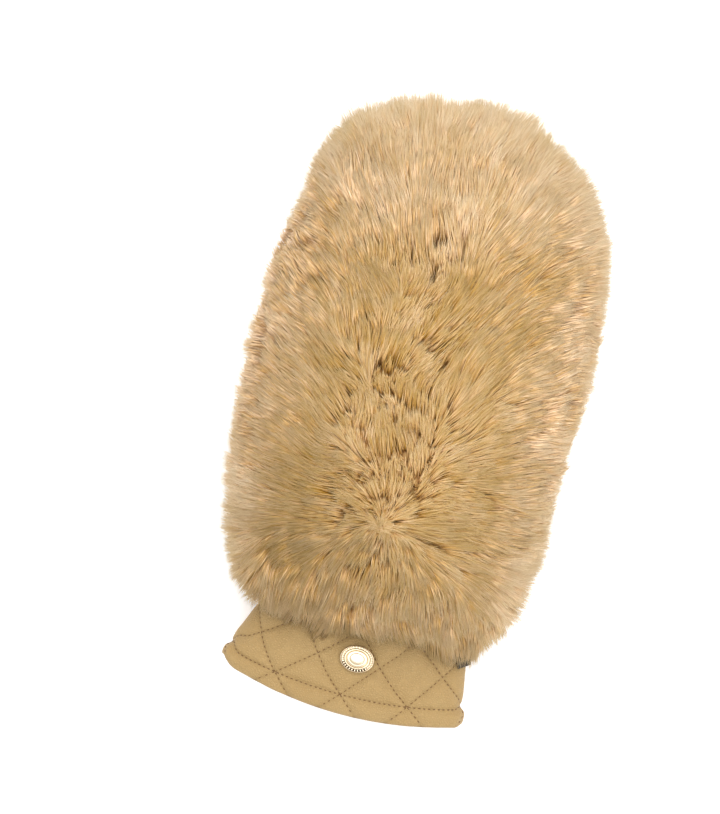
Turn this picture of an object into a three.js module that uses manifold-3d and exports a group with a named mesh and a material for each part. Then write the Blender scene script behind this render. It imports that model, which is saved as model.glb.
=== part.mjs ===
// A left-hand winter mitten lying palm down: a smooth leather palm and thumb, a quilted leather
// cuff with a metal badge, and a deep-pile fur over the back of the hand. It is hollow, open at
// the cuff. Millimetres; +Y runs from the hem to the fingertips, +X to the thumb side, +Z up.
import * as THREE from "three";
import { mergeVertices } from "three/addons/utils/BufferGeometryUtils.js";
import Module from "manifold-3d";

const wasm = await Module();
wasm.setup();

// Driving dimensions
const LEATHER_WALL = 2.2; // palm, thumb and fur backing, each with its facing
const CUFF_WALL = 3; // quilted leather, wadding and facing
const SEAM_GAP = 0.3; // left between pieces that are sewn edge to edge
const SKIN_GAP = 0.8; // left between the pile and the leather that it lies over
const WRIST_Y = 46; // where the cuff is sewn to the hand
const WEB_Y = 118; // where the thumb parts from the palm
const BACKING_RINGS = [20, 112, 195, 260]; // ends of the rings that make up the fur's backing
const THUMB_TOP = 15.4; // height of the flattened thumb that the palm lies on
const THUMB_END = 185; // just past the thumb's tip
const FUR_LIFT = 2.5; // the pile stays this far off the surface that the mitten rests on
const SQUARENESS = 2.4; // exponent of the hand's oval sections; 2 is an ellipse
const FUR_SQUARENESS = 2.2;
const HEM_DEPTH = 8; // hem edge to its row of stitches
const HEM_BOW = 8; // the hem runs this much further down at the middle of the back
const PALM_HEM_BOW = 3; // and this much at the middle of the palm
const HEM_SLOPE = -0.055; // the hem's lean across the cuff
const HEM_ROUND = 1.3; // rounding of the hem's edge
const QUILT_AROUND = 8; // diamonds round the cuff
const QUILT_STEPS = 3; // mesh steps across half a diamond
const QUILT_PITCH = 28.5; // one diamond, across or up
const HAND_MESH = { rings: 17, sides: 26 };
const HAND_ROOM_MESH = { rings: 14, sides: 24 };
const THUMB_MESH = { rings: 13, sides: 16 };
const THUMB_ROOM_MESH = { rings: 10, sides: 12 };
const OUTLINE_STEPS = { edge: 42, seam: 32 }; // points along the leather's outlines
const QUILT_DEPTH = 0.9; // how far the stitching pulls the leather in
const GATHERS_PER_DIAMOND = 3; // tucks that the wrist elastic makes under the palm
const GATHER_DEPTH = 1.1;
const BADGE = { length: 14.8, width: 11.6, height: 2.2, postRadius: 1.5, x: 2, y: 23.4 };
const LABEL = { length: 16.5, width: 10, thick: 1.2, x: 45.1, y: 45.2, z: 16.4, tilt: 0.34, splay: 0.226 };
// Room that the fur leaves, as distances from the middle of the piece, and heights.
const BADGE_ROOM = { x: [-9, 9], y: [-13.4, 6.8], z: [20, 60] };
const LABEL_ROOM = { x: [-4, 6.5], y: [-20, 1], z: [-10, 22.4] };

// Each row is one cross-section; bottom and top are heights above the surface it rests on.
const HAND_COLUMNS = ["y", "halfWidth", "centreX", "bottom", "top"];
const HAND_ROWS = table(HAND_COLUMNS, [
  [46, 43.5, 0.5, -0.6, 30],
  [62, 45.5, 0.5, 1.5, 34.5],
  [80, 47.5, 0.5, 5.5, 39],
  [100, 49.5, 1, 11.5, 43.5],
  [118, 50.5, 1, 16.3, 46.5],
  [145, 51, 1.5, 16.3, 48],
  [170, 51, 2, 16.3, 47.5],
  [187, 50, 1.5, 16.2, 46],
  [203, 47.5, 0.5, 11, 42.5],
  [217, 42.5, -1.5, 4, 37.5],
  [229, 34.5, -4, -0.8, 32],
  [237, 24.5, -6, -0.4, 26.5],
  [241.5, 13.5, -7, 3.5, 21.5],
  [243, 0, -7.5, 12.5, 12.5],
]);
const THUMB_ROWS = table(HAND_COLUMNS, [
  [56, 24, -2, 3, 18],
  [72, 26, -2.5, 0.4, 20],
  [90, 25.5, -3, -1, 22],
  [106, 24.5, -3, -1.2, 22],
  [114, 23.5, -3, -1.2, 20],
  [121, 22.2, -3, -1.2, THUMB_TOP],
  [134, 20.3, -3.2, -1.2, THUMB_TOP],
  [150, 17.2, -3, -1.2, THUMB_TOP],
  [164, 14.8, -2.8, -1.2, 15],
  [174, 11.6, -3.2, -1, 14.2],
  [180, 7.6, -3.6, 0.5, 12],
  [182.5, 0, -3.8, 6.5, 6.5],
]);
const CUFF_ROWS = table(HAND_COLUMNS, [
  [0, 53.6, -2, -0.8, 28],
  [8, 53.4, -2, -0.8, 28.5],
  [14, 52.6, -2.2, -0.8, 29],
  [22, 50.4, -1.3, -0.8, 29],
  [30, 47.8, 0.2, -0.8, 29],
  [38, 45, 0.6, -0.8, 29.4],
  [46, 43.5, 0.5, -0.6, 30],
]);
const FUR_ROWS = table(HAND_COLUMNS, [
  [30, 26, 0, 22, 32],
  [35, 45.5, 1, 6, 40],
  [43, 53.5, 2, -5, 48],
  [53, 59, 2.5, -12, 54.5],
  [67, 63, 1.5, -17, 59.5],
  [85, 66.3, 1.5, -20, 63.5],
  [107, 67.3, 0, -20, 66.5],
  [132, 68.3, 0.6, -20, 68.5],
  [157, 68.8, 2.8, -20, 69],
  [180, 68, 3.4, -20, 67.5],
  [200, 65.3, 5, -19, 65],
  [218, 60.5, 4, -17, 61.5],
  [232, 55.3, 1.5, -15, 57],
  [243.5, 47.3, 0, -12, 51.5],
  [251, 37.5, -0.5, -7, 45.5],
  [257, 26.5, 0.5, 1, 38],
  [260.5, 14, 1, 9, 30],
  [262.5, 0, 1, 19, 19],
]);
// Outline of the leather seen through the palm, [x, y], from the wrist's thumb side round the tip.
const LEATHER_EDGE = [
  [27, 46], [26, 70], [24, 100], [22.5, 130], [21.5, 170], [21, 200], [20.5, 217], [18.6, 228.5],
  [11.5, 235.5], [0.7, 239.3], [-9.4, 239.8], [-22, 236.2], [-31.4, 229.5], [-37.2, 221],
  [-40.8, 211], [-42, 200], [-42, 160], [-41.5, 118], [-36, 98], [-32, 80], [-29, 62], [-28, 46],
];
// Seam between the palm and the band that edges it, [x, y], from the thumb side to the wrist.
const BAND_SEAM = [
  [24, 213.6], [17.6, 218], [8.6, 223], [2.3, 225.2], [-3.2, 226.8], [-7.9, 228.1], [-13.5, 228],
  [-18.5, 226.6], [-24.4, 223.4], [-29.1, 220.2], [-33.8, 215], [-37.4, 207], [-39.2, 196],
  [-39.4, 160], [-37.8, 140], [-34.8, 119], [-32.4, 100], [-30.4, 84], [-32.6, 77],
];
const FUR_PARTING = { x: -2, wristY: 80, tipY: 205, reach: 60 };
const LOCK = { spacing: 19, root: 4, length: 22, halfWidth: 9, lift: 3.4, tip: 0.6 };
// A lock's foot, [along, across], in shares of its length and half width.
const LOCK_FOOT = [[-0.45, 0], [0.25, 1], [0.6, 0], [0.25, -1]];

// Turns rows of numbers under named columns into objects.
function table(columns, rows) {
  return rows.map((row) => Object.fromEntries(columns.map((name, i) => [name, row[i]])));
}

// A smooth curve through the rows of a table: the row at a place between 0 and the last index.
function rowAt(rows, place) {
  const last = rows.length - 1;
  const start = Math.min(Math.floor(place), last - 1);
  const share = place - start;
  const pick = (index) => rows[THREE.MathUtils.clamp(index, 0, last)];
  const [a, b, c, d] = [pick(start - 1), pick(start), pick(start + 1), pick(start + 2)];
  const made = {};
  for (const name of Object.keys(b)) {
    const slopeB = (c[name] - a[name]) / 2;
    const slopeC = (d[name] - b[name]) / 2;
    const rise = c[name] - b[name];
    const bend = 3 * rise - 2 * slopeB - slopeC;
    const twist = slopeB + slopeC - 2 * rise;
    made[name] = b[name] + share * (slopeB + share * (bend + share * twist));
  }
  return made;
}

// The row whose y is the one asked for.
function rowAtY(rows, y) {
  let low = 0;
  let high = rows.length - 1;
  for (let step = 0; step < 30; step++) {
    const middle = (low + high) / 2;
    if (rowAt(rows, middle).y < y) low = middle;
    else high = middle;
  }
  return rowAt(rows, (low + high) / 2);
}

// A point on a squarish oval section. Inset moves it inwards, rest is the lowest it may lie.
function ovalPoint(row, angle, inset, squareness, rest) {
  const power = 2 / squareness;
  const across = Math.sign(Math.cos(angle)) * Math.abs(Math.cos(angle)) ** power;
  const up = Math.sign(Math.sin(angle)) * Math.abs(Math.sin(angle)) ** power;
  const halfWidth = Math.max(row.halfWidth - inset, 0);
  const halfHeight = Math.max((row.top - row.bottom) / 2 - inset, 0);
  const z = (row.top + row.bottom) / 2 + up * halfHeight;
  return new THREE.Vector3(row.centreX + across * halfWidth, row.y, Math.max(z, rest));
}

function ovalRing(row, inset, squareness, rest, count) {
  const angles = Array.from({ length: count }, (_, i) => (2 * Math.PI * i) / count);
  return angles.map((angle) => ovalPoint(row, angle, inset, squareness, rest));
}

// A closed surface through rings of points: a tube whose ends are fans, or whose last ring meets
// its first when it is a wall that turns back on itself. Odd says which quads split the other way.
function skin(rings, { endless = false, odd = () => false } = {}) {
  const count = rings[0].length;
  const points = rings.flat();
  const faces = [];
  const bands = endless ? rings.length : rings.length - 1;
  for (let j = 0; j < bands; j++) {
    const next = (j + 1) % rings.length;
    for (let i = 0; i < count; i++) {
      const beside = (i + 1) % count;
      const [a, b] = [j * count + i, j * count + beside];
      const [c, d] = [next * count + beside, next * count + i];
      if (odd(i, j)) faces.push([a, d, b], [b, d, c]);
      else faces.push([a, d, c], [a, c, b]);
    }
  }
  if (!endless) {
    const middleOf = (ring) => ring.reduce((sum, p) => sum.add(p), new THREE.Vector3());
    const first = points.push(middleOf(rings[0]).divideScalar(count)) - 1;
    const last = points.push(middleOf(rings.at(-1)).divideScalar(count)) - 1;
    const end = (rings.length - 1) * count;
    for (let i = 0; i < count; i++) {
      const beside = (i + 1) % count;
      faces.push([first, i, beside], [last, end + beside, end + i]);
    }
  }
  const geometry = new THREE.BufferGeometry().setFromPoints(points);
  geometry.setIndex(faces.flat());
  return geometry;
}

// A closed three.js geometry as a solid that can be cut and joined.
function solidOf(geometry) {
  const bare = geometry.clone();
  bare.deleteAttribute("normal");
  bare.deleteAttribute("uv");
  const merged = mergeVertices(bare, 1e-3);
  const triVerts = new Uint32Array(merged.index.array);
  const vertProperties = merged.attributes.position.array;
  return new wasm.Manifold(new wasm.Mesh({ numProp: 3, vertProperties, triVerts }));
}

function geometryOf(solid) {
  const { vertProperties, triVerts } = solid.getMesh();
  const geometry = new THREE.BufferGeometry();
  geometry.setAttribute("position", new THREE.BufferAttribute(vertProperties, 3));
  geometry.setIndex(new THREE.BufferAttribute(triVerts, 1));
  return geometry;
}

// A rounded, closed form through a table of sections. Its last row is the tip, which an inset
// draws back as much as it draws in the sides.
function pod(rows, { inset = 0, squareness = SQUARENESS, rest = 0, rings, sides, startY }) {
  const last = rows.length - 1;
  const tip = rows[last];
  const nose = Math.max(...rows.map((row) => row.halfWidth)) / 2;
  const made = [];
  for (let k = 0; k < rings; k++) {
    const row = rowAt(rows, (last * k) / rings);
    row.y -= inset * THREE.MathUtils.smoothstep(row.y, tip.y - nose, tip.y);
    const room = Math.min(row.halfWidth, (row.top - row.bottom) / 2);
    if (room > inset + 0.6) made.push(row);
  }
  if (startY !== undefined) made[0] = { ...made[0], y: startY };
  const loops = made.map((row) => ovalRing(row, inset, squareness, rest, sides));
  const point = new THREE.Vector3(tip.centreX, tip.y - inset, Math.max(tip.top, rest));
  loops.push(loops[0].map(() => point.clone()));
  return solidOf(skin(loops));
}

// An upright prism on a closed outline, between two heights.
function prism(outline, low, high) {
  const shape = new THREE.Shape(outline);
  const made = new THREE.ExtrudeGeometry(shape, { depth: high - low, bevelEnabled: false });
  return solidOf(made.translate(0, 0, low));
}

function box(x0, x1, y0, y1, z0, z1) {
  const made = new THREE.BoxGeometry(x1 - x0, y1 - y0, z1 - z0);
  return solidOf(made.translate((x0 + x1) / 2, (y0 + y1) / 2, (z0 + z1) / 2));
}

function smooth(points, count) {
  const curve = new THREE.SplineCurve(points.map(([x, y]) => new THREE.Vector2(x, y)));
  return curve.getPoints(count);
}

// A closed outline, counter-clockwise, moved outwards by a distance.
function grown(outline, distance) {
  const count = outline.length;
  return outline.map((point, i) => {
    const before = outline[(i + count - 1) % count];
    const after = outline[(i + 1) % count];
    const along = after.clone().sub(before).normalize();
    return new THREE.Vector2(point.x + along.y * distance, point.y - along.x * distance);
  });
}

// Everything under the hand's middle line, so that an outline cuts its palm and not its back.
function belowMiddle() {
  const profile = [new THREE.Vector2(0, -20)];
  profile.push(new THREE.Vector2(260, -20));
  for (let y = 260; y >= 0; y -= 20) {
    const row = rowAtY(HAND_ROWS, THREE.MathUtils.clamp(y, WRIST_Y, 240));
    profile.push(new THREE.Vector2(y, (row.top + row.bottom) / 2));
  }
  const shape = new THREE.Shape(profile);
  const slab = new THREE.ExtrudeGeometry(shape, { depth: 200, bevelEnabled: false });
  slab.applyMatrix4(new THREE.Matrix4().set(0, 0, 1, -100, 1, 0, 0, 0, 0, 1, 0, 0, 0, 0, 0, 1));
  return solidOf(slab);
}

// The hand's hollow wall, with the thumb's, before it is parted along its seams.
function handWall() {
  const gapY = WRIST_Y + SEAM_GAP;
  const hand = pod(HAND_ROWS, { ...HAND_MESH, startY: gapY });
  const thumb = pod(THUMB_ROWS, THUMB_MESH);
  const inside = { inset: LEATHER_WALL, rest: LEATHER_WALL };
  const handRoom = pod(HAND_ROWS, { ...inside, ...HAND_ROOM_MESH, startY: WRIST_Y - 4 });
  const thumbRoom = pod(THUMB_ROWS, { ...inside, ...THUMB_ROOM_MESH });
  return hand.add(thumb).subtract(handRoom).subtract(thumbRoom);
}

// Parts the wall into the fur's backing, the edge band, the palm and the thumb.
function handPieces() {
  const wall = handWall();
  const lower = belowMiddle();
  const half = SEAM_GAP / 2;
  const edge = smooth(LEATHER_EDGE, OUTLINE_STEPS.edge);
  const seam = smooth(BAND_SEAM, OUTLINE_STEPS.seam);
  const closing = [[-50, 77], [-50, 30], [50, 30], [50, 213.6]].map(([x, y]) => new THREE.Vector2(x, y));
  const inner = [...seam, ...closing];
  edge.push(new THREE.Vector2(-28, 30), new THREE.Vector2(27, 30));
  const cut = (outline, distance) => prism(grown(outline, distance), -10, 80).intersect(lower);
  const leather = wall.intersect(cut(edge, -half));
  const palmSide = leather.intersect(cut(inner, -half));
  const thumbZone = (shift) => {
    const underPalm = box(-60, 60, 0, THUMB_END + shift, -10, THUMB_TOP + SEAM_GAP + shift);
    return box(-60, 60, 0, WEB_Y + shift, -10, 80).add(underPalm);
  };
  const backing = wall.subtract(cut(edge, half));
  const ring = (k) => {
    const [low, high] = [BACKING_RINGS[k] + half, BACKING_RINGS[k + 1] - half];
    return backing.intersect(box(-100, 100, low, high, -10, 100));
  };
  return {
    fur_backing_wrist: ring(0),
    fur_backing_hand: ring(1),
    fur_backing_tip: ring(2),
    edge_band: leather.subtract(cut(inner, half)),
    palm: palmSide.subtract(thumbZone(half)),
    thumb: palmSide.intersect(thumbZone(-half)),
  };
}

// How far stitching pulls the cuff's face in. Along and up are counted in half diamonds, from
// the middle of the back and from the row of stitches above the hem.
function cuffRelief(along, up, isUnder) {
  const offLine = (value) => Math.abs(value - 2 * Math.round(value / 2));
  const nearest = Math.min(offLine(along + up), offLine(along - up));
  const offHem = Math.min(Math.abs(up) * 3, 1);
  const puff = 1 - (1 - Math.min(nearest * 1.5, offHem)) ** 2;
  const gathered = isUnder * THREE.MathUtils.smoothstep(up, 1.2, 1.9);
  const tuck = GATHER_DEPTH * (0.5 - 0.5 * Math.cos(along * Math.PI * GATHERS_PER_DIAMOND));
  const plain = isUnder * Math.min(Math.abs(up) * 3, 1);
  return QUILT_DEPTH * (1 - puff) * (1 - plain) + tuck * gathered;
}

// Angles that part a section's outline into equal lengths, from the middle of its back.
function evenAngles(row, squareness, count) {
  const fine = 720;
  const angles = Array.from({ length: fine + 1 }, (_, i) => Math.PI / 2 + (2 * Math.PI * i) / fine);
  const lengths = [0];
  for (let i = 1; i <= fine; i++) {
    const before = ovalPoint(row, angles[i - 1], 0, squareness, -100);
    lengths.push(lengths[i - 1] + before.distanceTo(ovalPoint(row, angles[i], 0, squareness, -100)));
  }
  const girth = lengths[fine];
  const found = (share) => angles[lengths.findIndex((length) => length >= share * girth)];
  return Array.from({ length: count }, (_, i) => found(i / count));
}

// The hem's place along the mitten: bowed, most at the middle of the back, and a little aslant.
function hemAt(across, isBack) {
  const bow = isBack ? HEM_BOW * across ** 2 : HEM_BOW - PALM_HEM_BOW * (1 - across ** 2);
  return bow + HEM_SLOPE * across * CUFF_ROWS[0].halfWidth;
}

// The cuff: one wall that runs up the outside, turns at the wrist and comes back down inside.
function cuff() {
  const half = QUILT_PITCH / 2;
  const middleRow = rowAtY(CUFF_ROWS, 20);
  const angles = evenAngles(middleRow, SQUARENESS, QUILT_AROUND * QUILT_STEPS * 2);
  const ring = (fromHem, inset, isOutside) => {
    return angles.map((angle, i) => {
      const across = ovalPoint(middleRow, angle, 0, SQUARENESS, 0).x / middleRow.halfWidth;
      const y = THREE.MathUtils.lerp(hemAt(across, Math.sin(angle) > 0), WRIST_Y, fromHem / WRIST_Y);
      const isUnder = THREE.MathUtils.smoothstep(-Math.sin(angle), 0.2, 0.7);
      const pulled = isOutside ? cuffRelief(i / QUILT_STEPS, (fromHem - HEM_DEPTH) / half, isUnder) : 0;
      const rest = inset + pulled * isUnder;
      const point = ovalPoint(rowAtY(CUFF_ROWS, y), angle, inset + pulled, SQUARENESS, rest);
      return point.setY(y);
    });
  };
  const rings = [ring(0, HEM_ROUND, false), ring(HEM_ROUND, 0, false), ring(HEM_DEPTH / 2, 0, false)];
  const firstQuilted = rings.length;
  for (let up = HEM_DEPTH; up < WRIST_Y - 1; up += half / QUILT_STEPS) rings.push(ring(up, 0, true));
  rings.push(ring(WRIST_Y, 0, true));
  for (const fromHem of [WRIST_Y, 30, 14, 2]) rings.push(ring(fromHem, CUFF_WALL - 0.4, false));
  const odd = (i, j) => (i + j - firstQuilted + 1) % (2 * QUILT_STEPS) === 0;
  const wall = solidOf(skin(rings, { endless: true, odd }));
  const holeRadius = BADGE.postRadius + SEAM_GAP;
  const hole = new THREE.CylinderGeometry(holeRadius, holeRadius, 14, 16);
  hole.rotateX(Math.PI / 2).translate(BADGE.x, BADGE.y, middleRow.top);
  return wall.subtract(solidOf(hole));
}

// A plain form that clears the cuff, for cutting the fur that hangs over it.
function cuffEnvelope() {
  const rings = [-10, 0, 8, 14, 22, 30, 38, 47.5].map((y) => {
    const row = { ...rowAtY(CUFF_ROWS, THREE.MathUtils.clamp(y, 0, WRIST_Y)), y };
    return ovalRing(row, -SKIN_GAP, SQUARENESS, -5, 36);
  });
  return solidOf(skin(rings));
}

// The badge: an oval plate with a sunk border and a raised middle, and the post that holds it.
function badge() {
  const { length, height, postRadius } = BADGE;
  const radius = length / 2;
  const profile = [
    [0, -4.4], [postRadius, -4.4], [postRadius, 0], [radius - 0.3, 0], [radius, 0.5], [radius, 1.1],
    [radius - 0.5, 1.5], [radius - 0.7, 1.1], [radius - 1.7, 1.1], [radius - 2, 1.7],
    [radius - 3.4, 2], [radius - 3.8, 1.6], [radius - 4.6, 1.8], [0, height],
  ];
  const made = new THREE.LatheGeometry(profile.map(([r, y]) => new THREE.Vector2(r, y)), 16);
  return made.rotateX(Math.PI / 2).scale(1, BADGE.width / BADGE.length, 1);
}

// A folded woven tab, along X from its sewn end to the round fold at its free end.
function labelTab() {
  const shape = new THREE.Shape();
  const half = LABEL.thick / 2;
  shape.moveTo(0, -half);
  shape.lineTo(LABEL.length - half, -half);
  shape.absarc(LABEL.length - half, 0, half, -Math.PI / 2, Math.PI / 2, false);
  shape.lineTo(0, half);
  const made = new THREE.ExtrudeGeometry(shape, { depth: LABEL.width, bevelEnabled: false, curveSegments: 5 });
  made.translate(0, 0, -LABEL.width / 2).rotateX(LABEL.tilt);
  return made.rotateZ(LABEL.splay - Math.PI / 2).translate(LABEL.x, LABEL.y, LABEL.z);
}

// A repeatable number from -1 to 1 for a lock and a purpose.
function scatter(index, purpose) {
  const value = Math.sin(index * 12.9898 + purpose * 78.233) * 43758.5453;
  return 2 * (value - Math.floor(value)) - 1;
}

function furPoint(place, angle) {
  return ovalPoint(rowAt(FUR_ROWS, place), angle, 0, FUR_SQUARENESS, -100);
}

// Which way the pile lies at a point: away from the parting line, and down at the sides.
function pileLie(point, normal) {
  const { x, wristY, tipY, reach } = FUR_PARTING;
  const lie = new THREE.Vector3(point.x - x, point.y - THREE.MathUtils.clamp(point.y, wristY, tipY), 0);
  lie.divideScalar(reach);
  lie.y += THREE.MathUtils.clamp((point.y - wristY) / 60, -0.5, 0.35);
  lie.z -= 0.6 * (1 - Math.max(normal.z, 0));
  return lie.addScaledVector(normal, -lie.dot(normal)).normalize();
}

// One lock of the pile: a pointed wedge that rises from the surface along the pile's lie.
function lock(place, angle, index) {
  const point = furPoint(place, angle);
  const alongRow = furPoint(place + 0.02, angle).sub(point);
  const normal = alongRow.cross(furPoint(place, angle + 0.02).sub(point)).normalize();
  const lie = pileLie(point, normal);
  const side = new THREE.Vector3().crossVectors(normal, lie);
  lie.addScaledVector(side, 0.4 * scatter(index, 1)).normalize();
  side.crossVectors(normal, lie);
  const size = 1 + 0.18 * scatter(index, 2);
  const at = (along, across, height) => {
    const made = point.clone().addScaledVector(lie, along * LOCK.length * size);
    return made.addScaledVector(side, across * LOCK.halfWidth * size).addScaledVector(normal, height);
  };
  const foot = LOCK_FOOT.map(([along, across]) => at(along, across, -LOCK.root));
  const tip = at(LOCK.tip, 0, LOCK.lift * size);
  return solidOf(skin([foot, foot.map(() => tip.clone())]));
}

// The places along the fur's rows where a ring of locks is rooted, evenly over its curve.
function lockRings() {
  const places = [];
  const last = FUR_ROWS.length - 1;
  let before = furPoint(0.5, Math.PI / 2);
  let travelled = LOCK.spacing;
  for (let place = 0.5; place < last; place += 0.02) {
    const point = furPoint(place, Math.PI / 2);
    travelled += point.distanceTo(before);
    before = point;
    if (travelled < LOCK.spacing * 0.86) continue;
    places.push(place);
    travelled = 0;
  }
  return places;
}

function locks() {
  const made = [];
  let index = 0;
  for (const place of lockRings()) {
    const row = rowAt(FUR_ROWS, place);
    const girth = 2 * (row.halfWidth + (row.top - row.bottom) / 2);
    const count = Math.max(3, Math.round(girth / LOCK.spacing));
    const shift = 0.25 * (index % 2);
    for (let i = 0; i < count; i++) {
      index += 1;
      const share = (i + 0.4 + shift + 0.22 * scatter(index, 3)) / count;
      const angle = THREE.MathUtils.lerp(-0.35, Math.PI + 0.35, share);
      if (furPoint(place, angle).z > FUR_LIFT + LOCK.lift * 2) made.push(lock(place, angle, index));
    }
  }
  return made;
}

function roomFor(part, room) {
  const across = room.x.map((offset) => part.x + offset);
  const along = room.y.map((offset) => part.y + offset);
  return box(...across, ...along, ...room.z);
}

// The pile as one body: a soft dome over the hand with its locks, cut to sit on its backing.
function fur() {
  const dome = pod(FUR_ROWS, { squareness: FUR_SQUARENESS, rest: -100, rings: 18, sides: 27 });
  const startY = WRIST_Y + SEAM_GAP;
  const hand = pod(HAND_ROWS, { ...HAND_MESH, rest: -5, startY, inset: -SEAM_GAP });
  const thumb = pod(THUMB_ROWS, { ...THUMB_MESH, rest: -5, inset: -0.5 });
  const edge = grown(smooth(LEATHER_EDGE, OUTLINE_STEPS.edge), 2 * SEAM_GAP);
  edge.push(new THREE.Vector2(-29, 30), new THREE.Vector2(28, 30));
  const leather = prism(edge, -10, 80).intersect(belowMiddle());
  return wasm.Manifold.union([dome, ...locks()])
    .subtract(hand)
    .subtract(thumb)
    .subtract(cuffEnvelope())
    .subtract(leather)
    .subtract(roomFor(LABEL, LABEL_ROOM))
    .subtract(roomFor(BADGE, BADGE_ROOM))
    .subtract(box(-100, 100, -10, WRIST_Y + 0.5, -200, 12))
    .subtract(box(-100, 100, -10, 300, -200, FUR_LIFT));
}

const MATERIALS = {
  leather: new THREE.MeshStandardMaterial({ color: 0xcdab72, roughness: 0.62, metalness: 0 }),
  fur: new THREE.MeshStandardMaterial({ color: 0xdbb981, roughness: 0.95, metalness: 0 }),
  backing: new THREE.MeshStandardMaterial({ color: 0xb98f58, roughness: 0.9, metalness: 0 }),
  gold: new THREE.MeshStandardMaterial({ color: 0xf3dcae, roughness: 0.2, metalness: 1 }),
  label: new THREE.MeshStandardMaterial({ color: 0x1b1918, roughness: 0.9, metalness: 0 }),
};

function piece(name, geometry, material) {
  const mesh = new THREE.Mesh(geometry, material);
  mesh.name = name;
  return mesh;
}

function mitten() {
  const group = new THREE.Group();
  group.add(piece("fur", geometryOf(fur()), MATERIALS.fur));
  for (const [name, solid] of Object.entries(handPieces())) {
    const material = name.startsWith("fur_backing") ? MATERIALS.backing : MATERIALS.leather;
    group.add(piece(name, geometryOf(solid), material));
  }
  group.add(piece("cuff", geometryOf(cuff()), MATERIALS.leather));
  const badgePiece = piece("badge", badge(), MATERIALS.gold);
  badgePiece.position.set(BADGE.x, BADGE.y, rowAtY(CUFF_ROWS, BADGE.y).top + SEAM_GAP);
  group.add(badgePiece);
  group.add(piece("side_label", labelTab(), MATERIALS.label));
  return group;
}

// The origin is on the surface that the mitten rests on, under the middle of its bounding box.
function centred(group) {
  const bounds = new THREE.Box3().setFromObject(group, true);
  const middle = bounds.getCenter(new THREE.Vector3());
  for (const mesh of group.children) mesh.position.sub(new THREE.Vector3(middle.x, middle.y, bounds.min.z));
  return group;
}

export default centred(mitten());
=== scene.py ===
# %% [markdown]
# # A fur-backed leather mitten
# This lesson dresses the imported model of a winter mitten. The mitten lies palm down: deep fur over
# the back of the hand, a quilted leather cuff with an oval metal badge, a smooth leather palm and
# thumb, and a small woven tab at its side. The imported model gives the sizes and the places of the
# pieces. Each piece is made again here, finer, and stands in for its plain solid.

# %% Load the frame
import math
import bpy
import numpy as np
from mathutils import Euler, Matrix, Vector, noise


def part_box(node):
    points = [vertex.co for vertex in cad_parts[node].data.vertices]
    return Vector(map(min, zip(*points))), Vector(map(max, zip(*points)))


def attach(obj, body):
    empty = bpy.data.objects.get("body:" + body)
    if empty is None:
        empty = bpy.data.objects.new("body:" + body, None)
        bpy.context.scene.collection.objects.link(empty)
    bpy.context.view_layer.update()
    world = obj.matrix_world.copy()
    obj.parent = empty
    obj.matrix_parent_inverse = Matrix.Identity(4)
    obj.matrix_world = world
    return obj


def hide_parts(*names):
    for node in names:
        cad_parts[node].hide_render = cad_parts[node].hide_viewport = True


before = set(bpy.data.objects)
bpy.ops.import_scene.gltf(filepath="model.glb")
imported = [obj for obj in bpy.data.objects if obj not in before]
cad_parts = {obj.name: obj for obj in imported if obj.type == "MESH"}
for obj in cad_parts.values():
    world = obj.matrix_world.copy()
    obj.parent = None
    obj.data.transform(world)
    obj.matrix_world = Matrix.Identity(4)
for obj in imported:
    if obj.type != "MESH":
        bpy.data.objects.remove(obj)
scene = bpy.context.scene
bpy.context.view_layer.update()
print("CAD nodes:", sorted(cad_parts))

# %% [markdown]
# ## Drawing and frame
# The mitten was drawn in millimetres, with the hem's middle at the start of the Y axis, and then
# moved so that its box is centred. The badge is round about its own middle, so the difference
# between its place on the drawing and its place in the frame is that move.

# %% The move from the drawing to the frame
MM = 0.001
BADGE_PLACE = np.array([2.0, 23.4])
badge_low, badge_high = (np.array(corner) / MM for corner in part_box("badge"))
SHIFT = np.append((badge_low + badge_high)[:2] / 2 - BADGE_PLACE, 0.0)
print("drawing to frame, mm:", np.round(SHIFT, 3))


def placed(points):
    """Points on the drawing, in millimetres, as points in the frame, in metres."""
    return (np.asarray(points, float) + SHIFT) * MM


# %% [markdown]
# ## Camera, floor and light
# The photograph looks straight down with a long lens, and the mitten leans a little to the right
# in it. A long lens far away gives the same flat look. The light of a studio packshot is very
# soft: one wide lamp over the table, a paler one from the side, and a bright room all round.

# %% Camera
PICTURE_HEIGHT = 814
MM_PER_PIXEL = 0.424
SENSOR = 36
ROLL = math.radians(12)
AIM = np.array([-20.95, -5.35, 30.0]) * MM
DISTANCE = 2.4
camera_data = bpy.data.cameras.new("camera")
camera_data.sensor_width = SENSOR
camera_data.lens = SENSOR * DISTANCE / (PICTURE_HEIGHT * MM_PER_PIXEL * MM)
camera_data.clip_end = 20
camera = bpy.data.objects.new("camera", camera_data)
camera.location = AIM + (0, 0, DISTANCE)
camera.rotation_euler = (0, 0, ROLL)
scene.collection.objects.link(camera)
scene.camera = camera
print("lens, mm:", round(camera_data.lens, 1))


# %% [markdown]
# ## Colours and nodes
# Colours are written as the hex values that an eye would read off a screen. Blender mixes light in
# linear values, so one function turns the first into the second. Another adds a node, with its
# settings and what its inputs take, so that the recipe of each material reads from top to bottom.

# %% Colour and node helpers
def colour(text):
    """An sRGB hex colour as linear red, green, blue and a full alpha."""
    parts = [int(text[i:i + 2], 16) / 255 for i in (1, 3, 5)]
    linear = [p / 12.92 if p <= 0.04045 else ((p + 0.055) / 1.055) ** 2.4 for p in parts]
    return (*linear, 1.0)


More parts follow.
